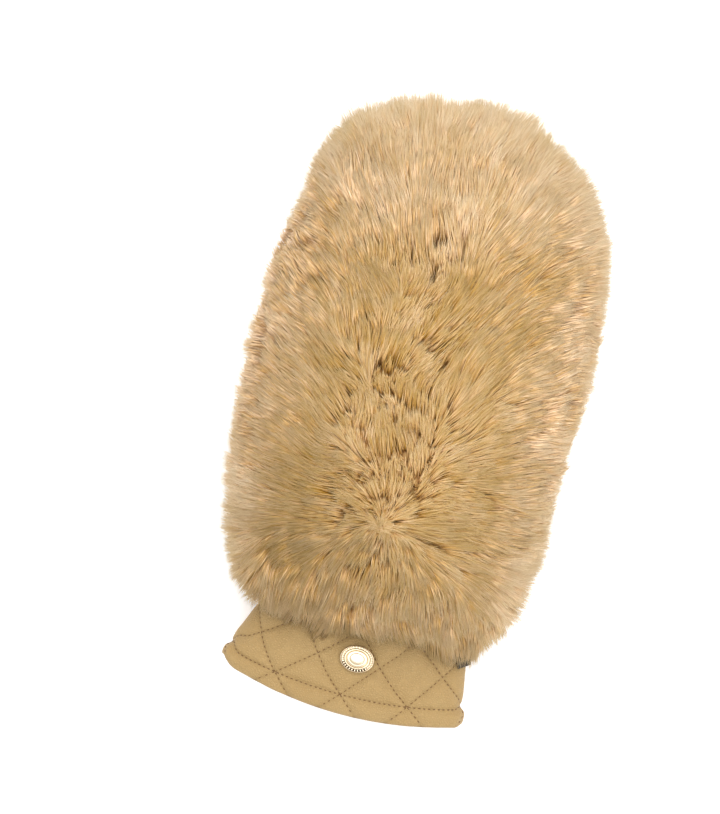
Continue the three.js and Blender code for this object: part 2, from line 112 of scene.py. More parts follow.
def add(tree, kind, inputs=None, **settings):
    """Adds one node. Each input, by name or number, takes a value, a socket, or a node's result."""
    node = tree.nodes.new(kind)
    for name, value in settings.items():
        setattr(node, name, value)
    for key, value in (inputs or {}).items():
        if isinstance(value, bpy.types.Node):
            value = next(result for result in value.outputs if result.enabled)
        if isinstance(value, bpy.types.NodeSocket):
            tree.links.new(value, node.inputs[key])
        else:
            node.inputs[key].default_value = value
    return node


def material(name):
    """A new material without nodes, and its tree."""
    made = bpy.data.materials.new(name)
    made.use_nodes = True
    made.node_tree.nodes.clear()
    return made, made.node_tree


print("cream in linear values:", np.round(colour("#F3D7A3"), 3))


# %% Floor and light
def lamp(name, size, watts, place, turn):
    """A round soft lamp: its width, power and place, and its turn in degrees."""
    data = bpy.data.lights.new(name, "AREA")
    data.shape = "DISK"
    data.size = size
    data.energy = watts
    made = bpy.data.objects.new(name, data)
    made.location = place
    made.rotation_euler = [math.radians(angle) for angle in turn]
    scene.collection.objects.link(made)


lamp("overhead_softbox", 2.4, 27, (0.1, 0.6, 1.4), (-23, 4, 0))
lamp("side_softbox", 0.9, 4, (0.9, -0.7, 1.0), (42, 42, 0))
scene.world = bpy.data.worlds.new("studio")
scene.world.use_nodes = True
bright_room = scene.world.node_tree.nodes["Background"].inputs
bright_room["Color"].default_value = (1, 1, 1, 1)
bright_room["Strength"].default_value = 0.95
scene.view_settings.view_transform = "Standard"
scene.cycles.diffuse_bounces = 8

FLOOR_CORNERS = [(-3, -3, 0), (3, -3, 0), (3, 3, 0), (-3, 3, 0)]
floor_mesh = bpy.data.meshes.new("floor")
floor_mesh.from_pydata(FLOOR_CORNERS, [], [(0, 1, 2, 3)])
floor = bpy.data.objects.new("floor", floor_mesh)
scene.collection.objects.link(floor)
# Matte paper that glows a little, as a sweep of paper does when a lamp stands behind it.
paper, tree = material("white_paper_sweep")
shader = add(tree, "ShaderNodeBsdfPrincipled", {
    "Base Color": colour("#F4F4F4"), "Roughness": 0.9, "Specular IOR Level": 0.1,
    "Emission Color": (1, 1, 1, 1), "Emission Strength": 0.3})
add(tree, "ShaderNodeOutputMaterial", {"Surface": shader})
floor_mesh.materials.append(paper)
print("lamps:", [data.name for data in bpy.data.lights])

# %% [markdown]
# ## Sections of the mitten
# A mitten is a set of rounded cross-sections, one after another along the hand. Each row of a table
# says where a section is, how wide it is, how far its middle lies from the centre line, and how
# high its lowest and highest points are. A smooth curve through the rows gives any section between
# them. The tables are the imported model's own, so the fine pieces fit it.

# %% Tables of sections
# Columns: y, half width, centre x, bottom, top, in millimetres.
HAND_ROWS = np.array([
    (46, 43.5, 0.5, -0.6, 30), (62, 45.5, 0.5, 1.5, 34.5), (80, 47.5, 0.5, 5.5, 39),
    (100, 49.5, 1, 11.5, 43.5), (118, 50.5, 1, 16.3, 46.5), (145, 51, 1.5, 16.3, 48),
    (170, 51, 2, 16.3, 47.5), (187, 50, 1.5, 16.2, 46), (203, 47.5, 0.5, 11, 42.5),
    (217, 42.5, -1.5, 4, 37.5), (229, 34.5, -4, -0.8, 32), (237, 24.5, -6, -0.4, 26.5),
    (241.5, 13.5, -7, 3.5, 21.5), (243, 0, -7.5, 12.5, 12.5),
], float)
THUMB_TOP = 15.4
THUMB_ROWS = np.array([
    (56, 24, -2, 3, 18), (72, 26, -2.5, 0.4, 20), (90, 25.5, -3, -1, 22),
    (106, 24.5, -3, -1.2, 22), (114, 23.5, -3, -1.2, 20), (121, 22.2, -3, -1.2, THUMB_TOP),
    (134, 20.3, -3.2, -1.2, THUMB_TOP), (150, 17.2, -3, -1.2, THUMB_TOP),
    (164, 14.8, -2.8, -1.2, 15), (174, 11.6, -3.2, -1, 14.2), (180, 7.6, -3.6, 0.5, 12),
    (182.5, 0, -3.8, 6.5, 6.5),
], float)
CUFF_ROWS = np.array([
    (0, 53.6, -2, -0.8, 28), (8, 53.4, -2, -0.8, 28.5), (14, 52.6, -2.2, -0.8, 29),
    (22, 50.4, -1.3, -0.8, 29), (30, 47.8, 0.2, -0.8, 29), (38, 45, 0.6, -0.8, 29.4),
    (46, 43.5, 0.5, -0.6, 30),
], float)
FUR_ROWS = np.array([
    (30, 26, 0, 22, 32), (35, 45.5, 1, 6, 40), (43, 53.5, 2, -5, 48), (53, 59, 2.5, -12, 54.5),
    (67, 63, 1.5, -17, 59.5), (85, 66.3, 1.5, -20, 63.5), (107, 67.3, 0, -20, 66.5),
    (132, 68.3, 0.6, -20, 68.5), (157, 68.8, 2.8, -20, 69), (180, 68, 3.4, -20, 67.5),
    (200, 65.3, 5, -19, 65), (218, 60.5, 4, -17, 61.5), (232, 55.3, 1.5, -15, 57),
    (243.5, 47.3, 0, -12, 51.5), (251, 37.5, -0.5, -7, 45.5), (257, 26.5, 0.5, 1, 38),
    (260.5, 14, 1, 9, 30), (262.5, 0, 1, 19, 19),
], float)
SQUARENESS = 2.4
FUR_SQUARENESS = 2.2
print("hand", HAND_ROWS[0, 0], "to", HAND_ROWS[-1, 0], "mm; fur to", FUR_ROWS[-1, 0], "mm")


# %% Any section between the rows
def row_at(rows, place):
    """Rows of a table at fractional places, on a smooth curve through them."""
    place = np.asarray(place, float)
    last = len(rows) - 1
    start = np.clip(np.floor(place).astype(int), 0, last - 1)
    share = (place - start)[..., None]
    before, after = rows[np.clip(start - 1, 0, last)], rows[np.clip(start + 2, 0, last)]
    low, high = rows[start], rows[start + 1]
    slope_low, slope_high = (high - before) / 2, (after - low) / 2
    rise = high - low
    bend = 3 * rise - 2 * slope_low - slope_high
    twist = slope_low + slope_high - 2 * rise
    return low + share * (slope_low + share * (bend + share * twist))


def place_of(rows, y, steps=4000):
    """Where along a table a given y comes."""
    places = np.linspace(0, len(rows) - 1, steps + 1)
    return np.interp(y, row_at(rows, places)[:, 0], places)


def oval(row, angle, inset=0.0, squareness=SQUARENESS, rest=None):
    """Points on squarish oval sections; an inset moves them inwards, rest is the lowest z."""
    power = 2 / squareness
    across = np.sign(np.cos(angle)) * np.abs(np.cos(angle)) ** power
    up = np.sign(np.sin(angle)) * np.abs(np.sin(angle)) ** power
    x = row[..., 2] + across * np.maximum(row[..., 1] - inset, 0)
    half_height = np.maximum((row[..., 4] - row[..., 3]) / 2 - inset, 0)
    z = (row[..., 4] + row[..., 3]) / 2 + up * half_height
    if rest is not None:
        z = np.maximum(z, rest)
    return np.stack(np.broadcast_arrays(x, row[..., 0], z), -1)


def ease(value, low, high):
    """From 0 at low to 1 at high, with a soft start and end."""
    share = np.clip((value - low) / (high - low), 0, 1)
    return share * share * (3 - 2 * share)


print("the hand's section at y = 150 mm:", np.round(row_at(HAND_ROWS, place_of(HAND_ROWS, 150)), 1))


# %% [markdown]
# ## From rings of points to a mesh
# A surface is a grid of points: rings along the hand, and points round each ring. One function
# joins the grid with quads that face outwards, and another closes its ends with fans. What a
# material needs to know at each point, such as how deep in a seam it lies, is stored with the mesh.

# %% Meshes from points
def object_of(name, points, faces, edges=()):
    """A mesh object at the origin, with its place in its points."""
    mesh = bpy.data.meshes.new(name)
    mesh.from_pydata(placed(points).tolist(), edges, faces)
    made = bpy.data.objects.new(name, mesh)
    scene.collection.objects.link(made)
    return made


def store(made, name, values):
    """Keeps a number or a direction for each point of a mesh, under a name."""
    values = np.asarray(values)
    kind, key = ("FLOAT_VECTOR", "vector") if values.ndim == 2 else ("FLOAT", "value")
    made.data.attributes.new(name, kind, "POINT").data.foreach_set(key, values.ravel())


def grid_quads(rings, count, endless=False):
    """Quads between rings of points, in a grid of their own, outwards where rings run along +Y."""
    j, i = np.meshgrid(np.arange(rings if endless else rings - 1), np.arange(count), indexing="ij")
    beside, ahead = (i + 1) % count, (j + 1) % rings
    return np.stack([j * count + i, ahead * count + i, ahead * count + beside, j * count + beside], -1)


def sheet_of(name, points, quads):
    """A mesh of quads over some of a table's points, and the numbers of the points it uses."""
    used, fewer = np.unique(quads, return_inverse=True)
    return object_of(name, points.reshape(-1, 3)[used], fewer.reshape(-1, 4).tolist()), used


def closed_tube(name, rings):
    """Rings of points, shape (rings, points, 3), as a closed tube with fans at its ends."""
    number, count = rings.shape[:2]
    points = np.concatenate([rings.reshape(-1, 3), rings[0].mean(0)[None], rings[-1].mean(0)[None]])
    faces = grid_quads(number, count).reshape(-1, 4).tolist()
    first = number * count
    for i in range(count):
        beside = (i + 1) % count
        faces.append([first, i, beside])
        faces.append([first + 1, (number - 1) * count + beside, (number - 1) * count + i])
    return object_of(name, points, faces)


def box(name, x, y, z):
    """A closed box between two values on each axis."""
    points = [(x[i], y[j], z[k]) for i in (0, 1) for j in (0, 1) for k in (0, 1)]
    faces = [(0, 1, 3, 2), (4, 6, 7, 5), (0, 4, 5, 1), (2, 3, 7, 6), (0, 2, 6, 4), (1, 5, 7, 3)]
    return object_of(name, points, faces)


def prism(name, first, second):
    """A closed form between two like loops of points, counter-clockwise as the second is faced."""
    count = len(first)
    faces = [list(range(count))[::-1], list(range(count, 2 * count))]
    faces += [[i, (i + 1) % count, count + (i + 1) % count, count + i] for i in range(count)]
    return object_of(name, np.concatenate([first, second]), faces)


print("quads in a grid of 3 rings of 8 points:", grid_quads(3, 8)[..., 0].size)


# %% Work on a mesh
def finished(made):
    """Puts what the modifiers make into the mesh, and clears them."""
    depsgraph = bpy.context.evaluated_depsgraph_get()
    fresh = bpy.data.meshes.new_from_object(made.evaluated_get(depsgraph))
    old = made.data
    made.modifiers.clear()
    made.data = fresh
    fresh.name = made.name
    bpy.data.meshes.remove(old)
    return made


def cut(target, tool, operation="DIFFERENCE", keep_tool=False):
    """Cuts, joins or crops a closed mesh with another one."""
    modifier = target.modifiers.new(operation.lower(), "BOOLEAN")
    modifier.operation = operation
    modifier.solver = "MANIFOLD"
    modifier.object = tool
    finished(target)
    if not keep_tool:
        bpy.data.objects.remove(tool)
    return target


def copy_of(made, name):
    """A second object with a mesh of its own."""
    fresh = bpy.data.objects.new(name, made.data.copy())
    fresh.data.name = name
    scene.collection.objects.link(fresh)
    return fresh


def smooth(made, sharp_from):
    """Smooth shading, with edges of more than an angle in degrees left sharp."""
    made.data.shade_smooth()
    made.data.set_sharp_from_angle(angle=math.radians(sharp_from))


def drawn(made):
    """An object's points on the drawing, in millimetres."""
    points = np.empty(3 * len(made.data.vertices))
    made.data.vertices.foreach_get("co", points)
    return points.reshape(-1, 3) / MM - SHIFT


def tell(made):
    """Prints a piece's name and its number of triangles."""
    made.data.calc_loop_triangles()
    print(made.name, "triangles:", len(made.data.loop_triangles))


print("solids are cut with Blender's Manifold solver")

# %% A rounded form through a table
RING_CROWDING = 1.6
LEAST_ROOM = 0.3
TIP_SHARE = 0.02


def pod(name, rows, inset=0.0, rest=0.0, rings=90, sides=120, start_y=None):
    """A rounded, closed form through a table of sections, closing to a point at its last row."""
    last = len(rows) - 1
    tip = rows[last]
    nose = rows[:, 1].max() / 2
    along = 1 - (1 - np.arange(rings) / rings) ** RING_CROWDING
    table = row_at(rows, last * along)
    table[:, 0] -= inset * ease(table[:, 0], tip[0] - nose, tip[0])
    room = np.minimum(table[:, 1], (table[:, 4] - table[:, 3]) / 2)
    table = table[room > inset + LEAST_ROOM]
    if start_y is not None:
        table[0, 0] = start_y
    angle = 2 * np.pi * np.arange(sides) / sides
    loops = oval(table[:, None, :], angle[None, :], inset, rest=rest)
    point = np.array([tip[2], tip[0] - inset, max(tip[4], rest)])
    end = np.broadcast_to(point, (1, sides, 3)) + TIP_SHARE * (loops[-1:] - point)
    return closed_tube(name, np.concatenate([loops, end]))


print("rings crowd towards a form's tip by the power", RING_CROWDING)

# %% [markdown]
# ## The outlines of the leather
# Seen through the palm, the leather ends at a smooth outline where the fur begins, and a narrow
# band edges the palm. Both outlines are short lists of points with a curve drawn through them.

# %% Outlines and the curve through them
LEATHER_EDGE = [
    (27, 46), (26, 70), (24, 100), (22.5, 130), (21.5, 170), (21, 200), (20.5, 217), (18.6, 228.5),
    (11.5, 235.5), (0.7, 239.3), (-9.4, 239.8), (-22, 236.2), (-31.4, 229.5), (-37.2, 221),
    (-40.8, 211), (-42, 200), (-42, 160), (-41.5, 118), (-36, 98), (-32, 80), (-29, 62), (-28, 46),
]
BAND_SEAM = [
    (24, 213.6), (17.6, 218), (8.6, 223), (2.3, 225.2), (-3.2, 226.8), (-7.9, 228.1), (-13.5, 228),
    (-18.5, 226.6), (-24.4, 223.4), (-29.1, 220.2), (-33.8, 215), (-37.4, 207), (-39.2, 196),
    (-39.4, 160), (-37.8, 140), (-34.8, 119), (-32.4, 100), (-30.4, 84), (-32.6, 77),
]


def curve_through(points, steps=8):
    """A smooth open curve through points, with a number of steps between each two."""
    table = np.asarray(points, float)
    return row_at(table, np.linspace(0, len(table) - 1, (len(table) - 1) * steps + 1))


def grown(outline, distance):
    """A closed outline, counter-clockwise, moved outwards by a distance."""
    along = np.roll(outline, -1, 0) - np.roll(outline, 1, 0)
    along /= np.linalg.norm(along, axis=1, keepdims=True)
    return outline + distance * np.stack([along[:, 1], -along[:, 0]], -1)


leather_edge = curve_through(LEATHER_EDGE)
band_seam = curve_through(BAND_SEAM)
closed_edge = np.concatenate([leather_edge, [(-28, 30), (27, 30)]])
closed_seam = np.concatenate([band_seam, [(-50, 77), (-50, 30), (50, 30), (50, 213.6)]])
print("points on the leather's edge:", len(leather_edge), "on the band's seam:", len(band_seam))

# %% [markdown]
# ## The pile: what it is
# Faux fur is a knitted backing with acrylic hair of two lengths: a dense, short, curly undercoat
# and longer, straighter guard hair that tapers to a soft point. Tips cling together in tufts of a
# few millimetres, and tufts lie over each other in larger locks. Particle hair would look right,
# but an exported model loses it. So each hair that shows is a thin closed spike, and Geometry
# Nodes plant them: they follow the surface, and one seed gives the same fur every time. A hair is
# drawn about as thick as a pixel of the photograph, because a real one would be far too fine.

# %% Fur acrylic
# How much lighter and greyer a hair gets as its tint goes from 0 to 1.
TINT_VALUE = (0.74, 1.17)
TINT_SATURATION = (1.22, 0.74)


def fur_material(name, root, lower, middle, tip, glow):
    """Acrylic pile: matte, a little shiny along the hair, painted darker and redder towards the root as the
    shade deep in the pile.
    """
    made, tree = material(name)
    along = add(tree, "ShaderNodeAttribute", attribute_name="along").outputs["Fac"]
    tint = add(tree, "ShaderNodeAttribute", attribute_name="tint").outputs["Fac"]
    ramp = add(tree, "ShaderNodeValToRGB", {"Fac": along})
    ramp.color_ramp.elements[0].color = colour(root)
    ramp.color_ramp.elements[1].color = colour(tip)
    ramp.color_ramp.elements.new(0.3).color = colour(lower)
    ramp.color_ramp.elements.new(0.6).color = colour(middle)
    value, warmth = (
        add(tree, "ShaderNodeMapRange", {"Value": tint, "To Min": low, "To Max": high}, clamp=False)
        for low, high in (TINT_VALUE, TINT_SATURATION))
    toned = add(tree, "ShaderNodeHueSaturation", {"Saturation": warmth, "Value": value, "Color": ramp})
    shader = add(tree, "ShaderNodeBsdfPrincipled", {
        "Base Color": toned, "Roughness": 0.5, "IOR": 1.5, "Specular IOR Level": 0.15,
        "Sheen Weight": glow, "Sheen Roughness": 0.4, "Sheen Tint": colour("#F3DDB4")})
    add(tree, "ShaderNodeOutputMaterial", {"Surface": shader})
    return made


guard_hair = fur_material("acrylic_guard_hair", "#936129", "#C4955B", "#E8C38C", "#F3D7A3", 0.05)
undercoat_fibre = fur_material("acrylic_undercoat", *["#CDA268"] * 4, 0.0)
print("fur materials:", guard_hair.name, undercoat_fibre.name)

# %% [markdown]
# ## How the pile lies
# Seen from above, the hair fans out from a whorl near the wrist: down over the cuff, up past the
# fingertips, and more and more sideways towards the rims. Along the middle it is messy and swirls,
# and towards the rim it lies smoother. The guide is the surface that the tips reach. At each of its
# points named values say where the hair is rooted, how far and which way it leans, how messy it
# is, and how pale it is painted: darker in the middle as painted shade, paler at the rims as
# painted rim light.

# %% Tips and roots of the pile
PLACES = np.linspace(0.15, len(FUR_ROWS) - 1.02, 150)
ANGLES = np.radians(np.linspace(-98, 262, 199))
ROOT_SPAN = (HAND_ROWS[0, 0] + 1, HAND_ROWS[-1, 0] - 0.5)
FLOOR_ROOM = 0.5
# How much further than the table the tips reach, in millimetres, and over which y it comes in.
RIM_REACH, RIM_SPAN = 4.6, (30, 50)
TIP_REACH, TIP_SPAN = 2.9, (185, 225)
# At the wrist the tips hang down over the cuff: how far, and how ragged their edge is.
WRIST_SPAN = (-64, -44)
WRIST_DROOP, DROOP_FROM, DROOP_TO = 4.0, (22, 45), (50, 60)
WRIST_RAGGED, RAGGED_SIZE = 3.2, 8.0


def noise_at(points, size, seed=0):
    """Smooth noise from -1 to 1 at points in millimetres; size is the width of its lumps."""
    spot = np.asarray(points, float) / size + seed * 17.3
    return np.array([noise.noise(p) for p in spot.reshape(-1, 3)]).reshape(spot.shape[:-1])


def pile(places, angles):
    """Tips, roots and outward directions of the pile over a grid of places and angles."""
    row = row_at(FUR_ROWS, places)[:, None, :]
    tips = oval(row, angles[None, :], squareness=FUR_SQUARENESS)
    share = (row[..., 0] - FUR_ROWS[0, 0]) / (FUR_ROWS[-1, 0] - FUR_ROWS[0, 0])
    hand_y = ROOT_SPAN[0] + share * (ROOT_SPAN[1] - ROOT_SPAN[0])
    roots = oval(row_at(HAND_ROWS, place_of(HAND_ROWS, hand_y)), angles[None, :], rest=FLOOR_ROOM)
    out = tips - roots
    out /= np.linalg.norm(out, axis=-1, keepdims=True)
    y = tips[..., 1:2]
    tips += out * (1, 1, 0) * (RIM_REACH * ease(y, *RIM_SPAN) + TIP_REACH * ease(y, *TIP_SPAN))
    near_wrist = ease(-tips[..., 1], *WRIST_SPAN)
    beside_label = ease(tips[..., 0], *DROOP_FROM) * (1 - ease(tips[..., 0], *DROOP_TO))
    ragged = WRIST_RAGGED * noise_at(tips, RAGGED_SIZE, 21)
    tips[..., 1] -= near_wrist * (WRIST_DROOP * beside_label + ragged)
    return tips, roots, out


tips, roots, out = pile(PLACES, ANGLES)
print("rings and points of the guide:", tips.shape[:2])

# %% Which way the hair leans
WHORL = (0.0, 78.0)
PARTING_LENGTH = 130.0
# How strongly the hair points up the hand: from nothing at the whorl to a core, then a little more
# with y. Behind the whorl it turns back, over some millimetres. At the rims it turns aside.
FAN_CORE, FAN_GROWTH, FAN_BACK, FAN_TURN = 20.0, 0.3, 3.4, 8.0
RIM_TURN, RIM_WIDTH = 0.45, 70.0
# Swirls: their angle, the widths of their lumps, how much the small ones add, and how they calm
# down away from the parting and stop at the whorl.
SWIRL = math.radians(48)
SWIRL_SIZES = (26.0, 11.0)
SMALL_SWIRL = 0.45
CALM, CALM_SPAN = 0.6, (15, 60)
WHORL_SPAN = (4, 45)
# Hair sinks where the pile faces sideways, more where it faces down, and lies flat near the floor.
SINK_ASIDE, SINK_BELOW, BELOW_SPAN = 0.5, 0.7, (-0.25, 0.35)
LEVEL_BELOW = (-2.0, 8.0)
TIP_LEVEL, TIP_LEVEL_SPAN = 14.0, (225, 245)
# Millimetres from a hair's root to its tip, along the surface.
REACH, RIM_MORE, RIM_MORE_SPAN, WRIST_MORE, WRIST_MORE_SPAN = 16.5, 1.0, (8, 60), 4.0, (5, 45)


def lean_of(tips, out):
    """Which way and how far the hair leans, in millimetres, at right angles to the way out."""
    x = tips[..., 0] - WHORL[0]
    y = tips[..., 1] - WHORL[1]
    up, down = np.maximum(y, 0), np.maximum(-y, 0)
    from_line = np.hypot(x, y - np.clip(y, 0, PARTING_LENGTH))
    ahead = FAN_CORE * (1 - np.exp(-up / FAN_CORE)) + FAN_GROWTH * up
    ahead = ahead - FAN_BACK * down ** 2 / (down + FAN_TURN)
    ahead *= 1 - RIM_TURN * (np.abs(x) / RIM_WIDTH) ** 4
    swirl = noise_at(tips, SWIRL_SIZES[0], 7) * SWIRL * (1 - CALM * ease(from_line, *CALM_SPAN))
    swirl += noise_at(tips, SWIRL_SIZES[1], 8) * SWIRL * SMALL_SWIRL
    swirl *= ease(np.hypot(x, y), *WHORL_SPAN)
    length = np.hypot(x, ahead) + 1e-9
    aside, ahead = x / length, ahead / length
    flow = np.stack([aside * np.cos(swirl) - ahead * np.sin(swirl),
                     aside * np.sin(swirl) + ahead * np.cos(swirl), np.zeros_like(x)], -1)
    level = flow.copy()
    sink = SINK_ASIDE * (1 - np.maximum(out[..., 2], 0)) + SINK_BELOW * ease(-out[..., 2], *BELOW_SPAN)
    flow[..., 2] -= sink
    flow -= out * (flow * out).sum(-1, keepdims=True)
    tip_rise = TIP_LEVEL * ease(tips[..., 1:2], *TIP_LEVEL_SPAN)
    flow += (level - flow) * (1 - ease(tips[..., 2:] - tip_rise, *LEVEL_BELOW))
    flow /= np.linalg.norm(flow, axis=-1, keepdims=True) + 1e-9
    reach = REACH + RIM_MORE * ease(from_line, *RIM_MORE_SPAN) + WRIST_MORE * ease(-y, *WRIST_MORE_SPAN)
    return flow * reach[..., None], from_line


leans, from_line = lean_of(tips, out)
print("the hair leans by", np.round(np.linalg.norm(leans, axis=-1).mean(), 1), "mm on average")


# %% Where the leather leaves no room for hair
def inside(points, outline):
    """Which points, seen from above, lie inside a closed outline."""
    x, y = points[..., 0], points[..., 1]
    hit = np.zeros(x.shape, bool)
    for (ax, ay), (bx, by) in zip(outline, np.roll(outline, -1, 0)):
        if ay != by:
            crosses = (ay > y) != (by > y)
            hit ^= crosses & (x < (bx - ax) * (y - ay) / (by - ay) + ax)
    return hit


EDGE_MARGIN = 1.0
floor_part = tips[..., 2] < FLOOR_ROOM
tips[..., 2] = np.maximum(tips[..., 2], FLOOR_ROOM)
hand_middle = row_at(HAND_ROWS, place_of(HAND_ROWS, roots[..., 1]))[..., 3:].mean(-1)
bare = (roots[..., 2] < hand_middle) & inside(roots, grown(closed_edge, EDGE_MARGIN))
bare |= inside(tips, grown(closed_edge, EDGE_MARGIN)) & floor_part
print("guide points left bare under the palm:", int(bare.sum()))

# %% The guide, band by band
# The hair's tint is painted darker in the middle as painted shade, and paler at the rims as painted rim
# light.
MIDDLE_PAINTED_SHADE, RIM_PAINTED_LIGHT, WRIST_PAINTED_LIGHT = -0.28, 0.15, 0.4
MESS, LINE_CALMS, LINE_SPAN = 0.85, 0.55, (5, 55)
MESS_BEHIND, BEHIND_SPAN = 0.4, (5, 35)
# Where the painted rim light begins and is full: to the sides, at the fingertips and at the wrist.
SIDE_RIM, TIP_RIM, WRIST_RIM = (43, 68), (185, 232), (-58, -38)


def guide_band(name, first, last):
    """The guide between two rings, without the part where the leather has no hair."""
    quads = grid_quads(*bare.shape)[first:last, :-1].reshape(-1, 4)
    made, used = sheet_of(name, tips, quads[~bare.ravel()[quads].any(-1)])
    x, y = tips.reshape(-1, 3)[used, :2].T
    mess = MESS - LINE_CALMS * ease(from_line.ravel()[used], *LINE_SPAN)
    rim = np.maximum(ease(np.abs(x - 1), *SIDE_RIM), ease(y, *TIP_RIM))
    pale = np.maximum(rim, WRIST_PAINTED_LIGHT * ease(-y, *WRIST_RIM))
    store(made, "root", placed(roots.reshape(-1, 3)[used]))
    store(made, "lean", leans.reshape(-1, 3)[used] * MM)
    store(made, "mess", mess + MESS_BEHIND * ease(WHORL[1] - y, *BEHIND_SPAN))
    store(made, "pale", MIDDLE_PAINTED_SHADE + (RIM_PAINTED_LIGHT - MIDDLE_PAINTED_SHADE) * pale)
    return made


print("tones from the middle to the rim:", MIDDLE_PAINTED_SHADE, "to", RIM_PAINTED_LIGHT)


# %% [markdown]
# ## The hair planter
# The tree scatters two coarse sets of points, one for tufts and one for locks, and a fine set for
# the hairs. Each hair takes a part of its bend from its nearest tuft and lock, and its tip moves
# towards the tuft's own tip. Then a three-sided spindle stands at each point, and every one of its
# points is moved onto a curve that leaves the backing upright and bends over towards the tip.

# %% The planter's inputs
MATH, VECTORS, MIX = "ShaderNodeMath", "ShaderNodeVectorMath", "ShaderNodeMix"
CHANCE, STORE = "FunctionNodeRandomValue", "GeometryNodeStoreNamedAttribute"
SPLIT, JOIN = "ShaderNodeSeparateXYZ", "ShaderNodeCombineXYZ"


def new_tree(name, sizes):
    """A Geometry Nodes tree with named inputs, and the sockets that bring them in."""
    tree = bpy.data.node_groups.new(name, "GeometryNodeTree")
    tree.interface.new_socket("Geometry", in_out="OUTPUT", socket_type="NodeSocketGeometry")
    kinds = {"Geometry": "Geometry", **sizes, "Seed": "Int", "Material": "Material"}
    for title, kind in kinds.items():
        tree.interface.new_socket(title, in_out="INPUT", socket_type=f"NodeSocket{kind}")
    return tree, add(tree, "NodeGroupInput").outputs


def close_tree(tree, given, geometry, scratch):
    """Ends a tree: drops what it stored on the way, shades it smooth and sets its material."""
    for name in scratch:
        geometry = add(tree, "GeometryNodeRemoveAttribute", {"Geometry": geometry, "Name": name})
    geometry = add(tree, "GeometryNodeSetShadeSmooth", {"Geometry": geometry})
    dressed = add(tree, "GeometryNodeSetMaterial", {"Geometry": geometry, "Material": given["Material"]})
    add(tree, "NodeGroupOutput", {0: dressed})


def grow(made, tree, values):
    """Runs a tree on an object, with its inputs set by name, and keeps what it makes."""
    modifier = made.modifiers.new(tree.name, "NODES")
    modifier.node_group = tree
    for item in tree.interface.items_tree:
        if item.name in values:
            modifier[item.identifier] = values[item.name]
    return finished(made)


planter, given = new_tree("plant_hair", dict.fromkeys((
    "Hairs per m2", "Hair radius", "Tuft spacing", "Lock spacing", "Shortest", "Longest",
    "Tuft pull", "Wildness"), "Float"))
place = add(planter, "GeometryNodeInputPosition")
field = {}
for kind, names in (("FLOAT_VECTOR", "root lean stray summit post hair_root hair_bend hair_tip"),
                    ("FLOAT", "mess pale shade lowest stem tint along")):
    for name in names.split():
        field[name] = add(planter, "GeometryNodeInputNamedAttribute", {"Name": name}, data_type=kind)
print("what the planter reads and stores:", list(field))

# %% Tufts and locks
# The seeds, and in metres how far tufts and locks stray sideways and rise.
TUFT_SEED, TUFT_SPREAD, TUFT_RISE = 11, 0.0013, 0.0011
LOCK_SEED, LOCK_SPREAD, LOCK_RISE = 23, 0.0022, 0.0014
# Which ways they stray, and by what share of its length the lean varies, in messy and calm pile.
LOW_WAY, HIGH_WAY = (-1, -1, -0.6), (1, 1, 0.6)
HAIR_SEED = 37
UNEVEN, MESS_TELLS, CALM_TELLS = 0.35, 0.8, 0.25
way_out = add(planter, VECTORS, {
    0: add(planter, VECTORS, {0: place, 1: field["root"]}, operation="SUBTRACT")}, operation="NORMALIZE")


def scattered(density, extra):
    """Points all over the guide, with a seed of their own."""
    seed = add(planter, MATH, {0: given["Seed"], 1: extra}, operation="ADD")
    return add(planter, "GeometryNodeDistributePointsOnFaces", {
        "Mesh": given["Geometry"], "Density": density, "Seed": seed})


def gathered(spacing, extra, spread, rise):
    """Tufts or locks: points that each know how far their hair strays from the lie."""
    area = add(planter, MATH, {0: spacing, 1: spacing}, operation="MULTIPLY")
    points = scattered(add(planter, MATH, {0: 1.0, 1: area}, operation="DIVIDE"), extra)
    restless = add(planter, MATH, {0: field["mess"], 1: given["Wildness"]}, operation="MULTIPLY")
    wild = add(planter, MATH, {0: restless, 1: spread}, operation="MULTIPLY")
    way = add(planter, CHANCE, {0: LOW_WAY, 1: HIGH_WAY, 8: extra + 1}, data_type="FLOAT_VECTOR")
    stray = add(planter, VECTORS, {0: way, 3: wild}, operation="SCALE")
    more = add(planter, CHANCE, {2: -UNEVEN, 3: UNEVEN, 8: extra + 2})
    uneven = add(planter, MATH, {0: field["mess"], 1: MESS_TELLS, 2: CALM_TELLS}, operation="MULTIPLY_ADD")
    uneven = add(planter, MATH, {0: more, 1: uneven}, operation="MULTIPLY")
    further = add(planter, VECTORS, {0: field["lean"], 3: uneven}, operation="SCALE")
    lift = add(planter, CHANCE, {2: -rise, 3: rise * 0.5, 8: extra + 3})
    higher = add(planter, VECTORS, {0: way_out, 3: lift}, operation="SCALE")
    bent = add(planter, VECTORS, {0: stray, 1: further}, operation="ADD")
    bent = add(planter, VECTORS, {0: bent, 1: higher}, operation="ADD")
    summit = add(planter, VECTORS, {0: place, 1: bent}, operation="ADD")
    shade = add(planter, CHANCE, {2: 0.0, 3: 1.0, 8: extra + 4})
    for name, value in (("stray", bent), ("summit", summit), ("shade", shade)):
        points = add(planter, STORE, {"Geometry": points, "Name": name, "Value": value},
                     data_type=field[name].data_type)
    return points


tufts = gathered(given["Tuft spacing"], TUFT_SEED, TUFT_SPREAD, TUFT_RISE)
locks = gathered(given["Lock spacing"], LOCK_SEED, LOCK_SPREAD, LOCK_RISE)
hairs = scattered(given["Hairs per m2"], HAIR_SEED)
print("nodes so far:", len(planter.nodes))

# %% Each hair's root, bend and tip
# In metres, how far a hair strays on its own, and how low its tip may hang above the floor.
LOOSE, LOW_SWING, HIGH_SWING = 0.0015, (-1, -1, -0.7), (1, 1, 0.7)
LOWEST_TIPS = (0.0007, 0.0022)
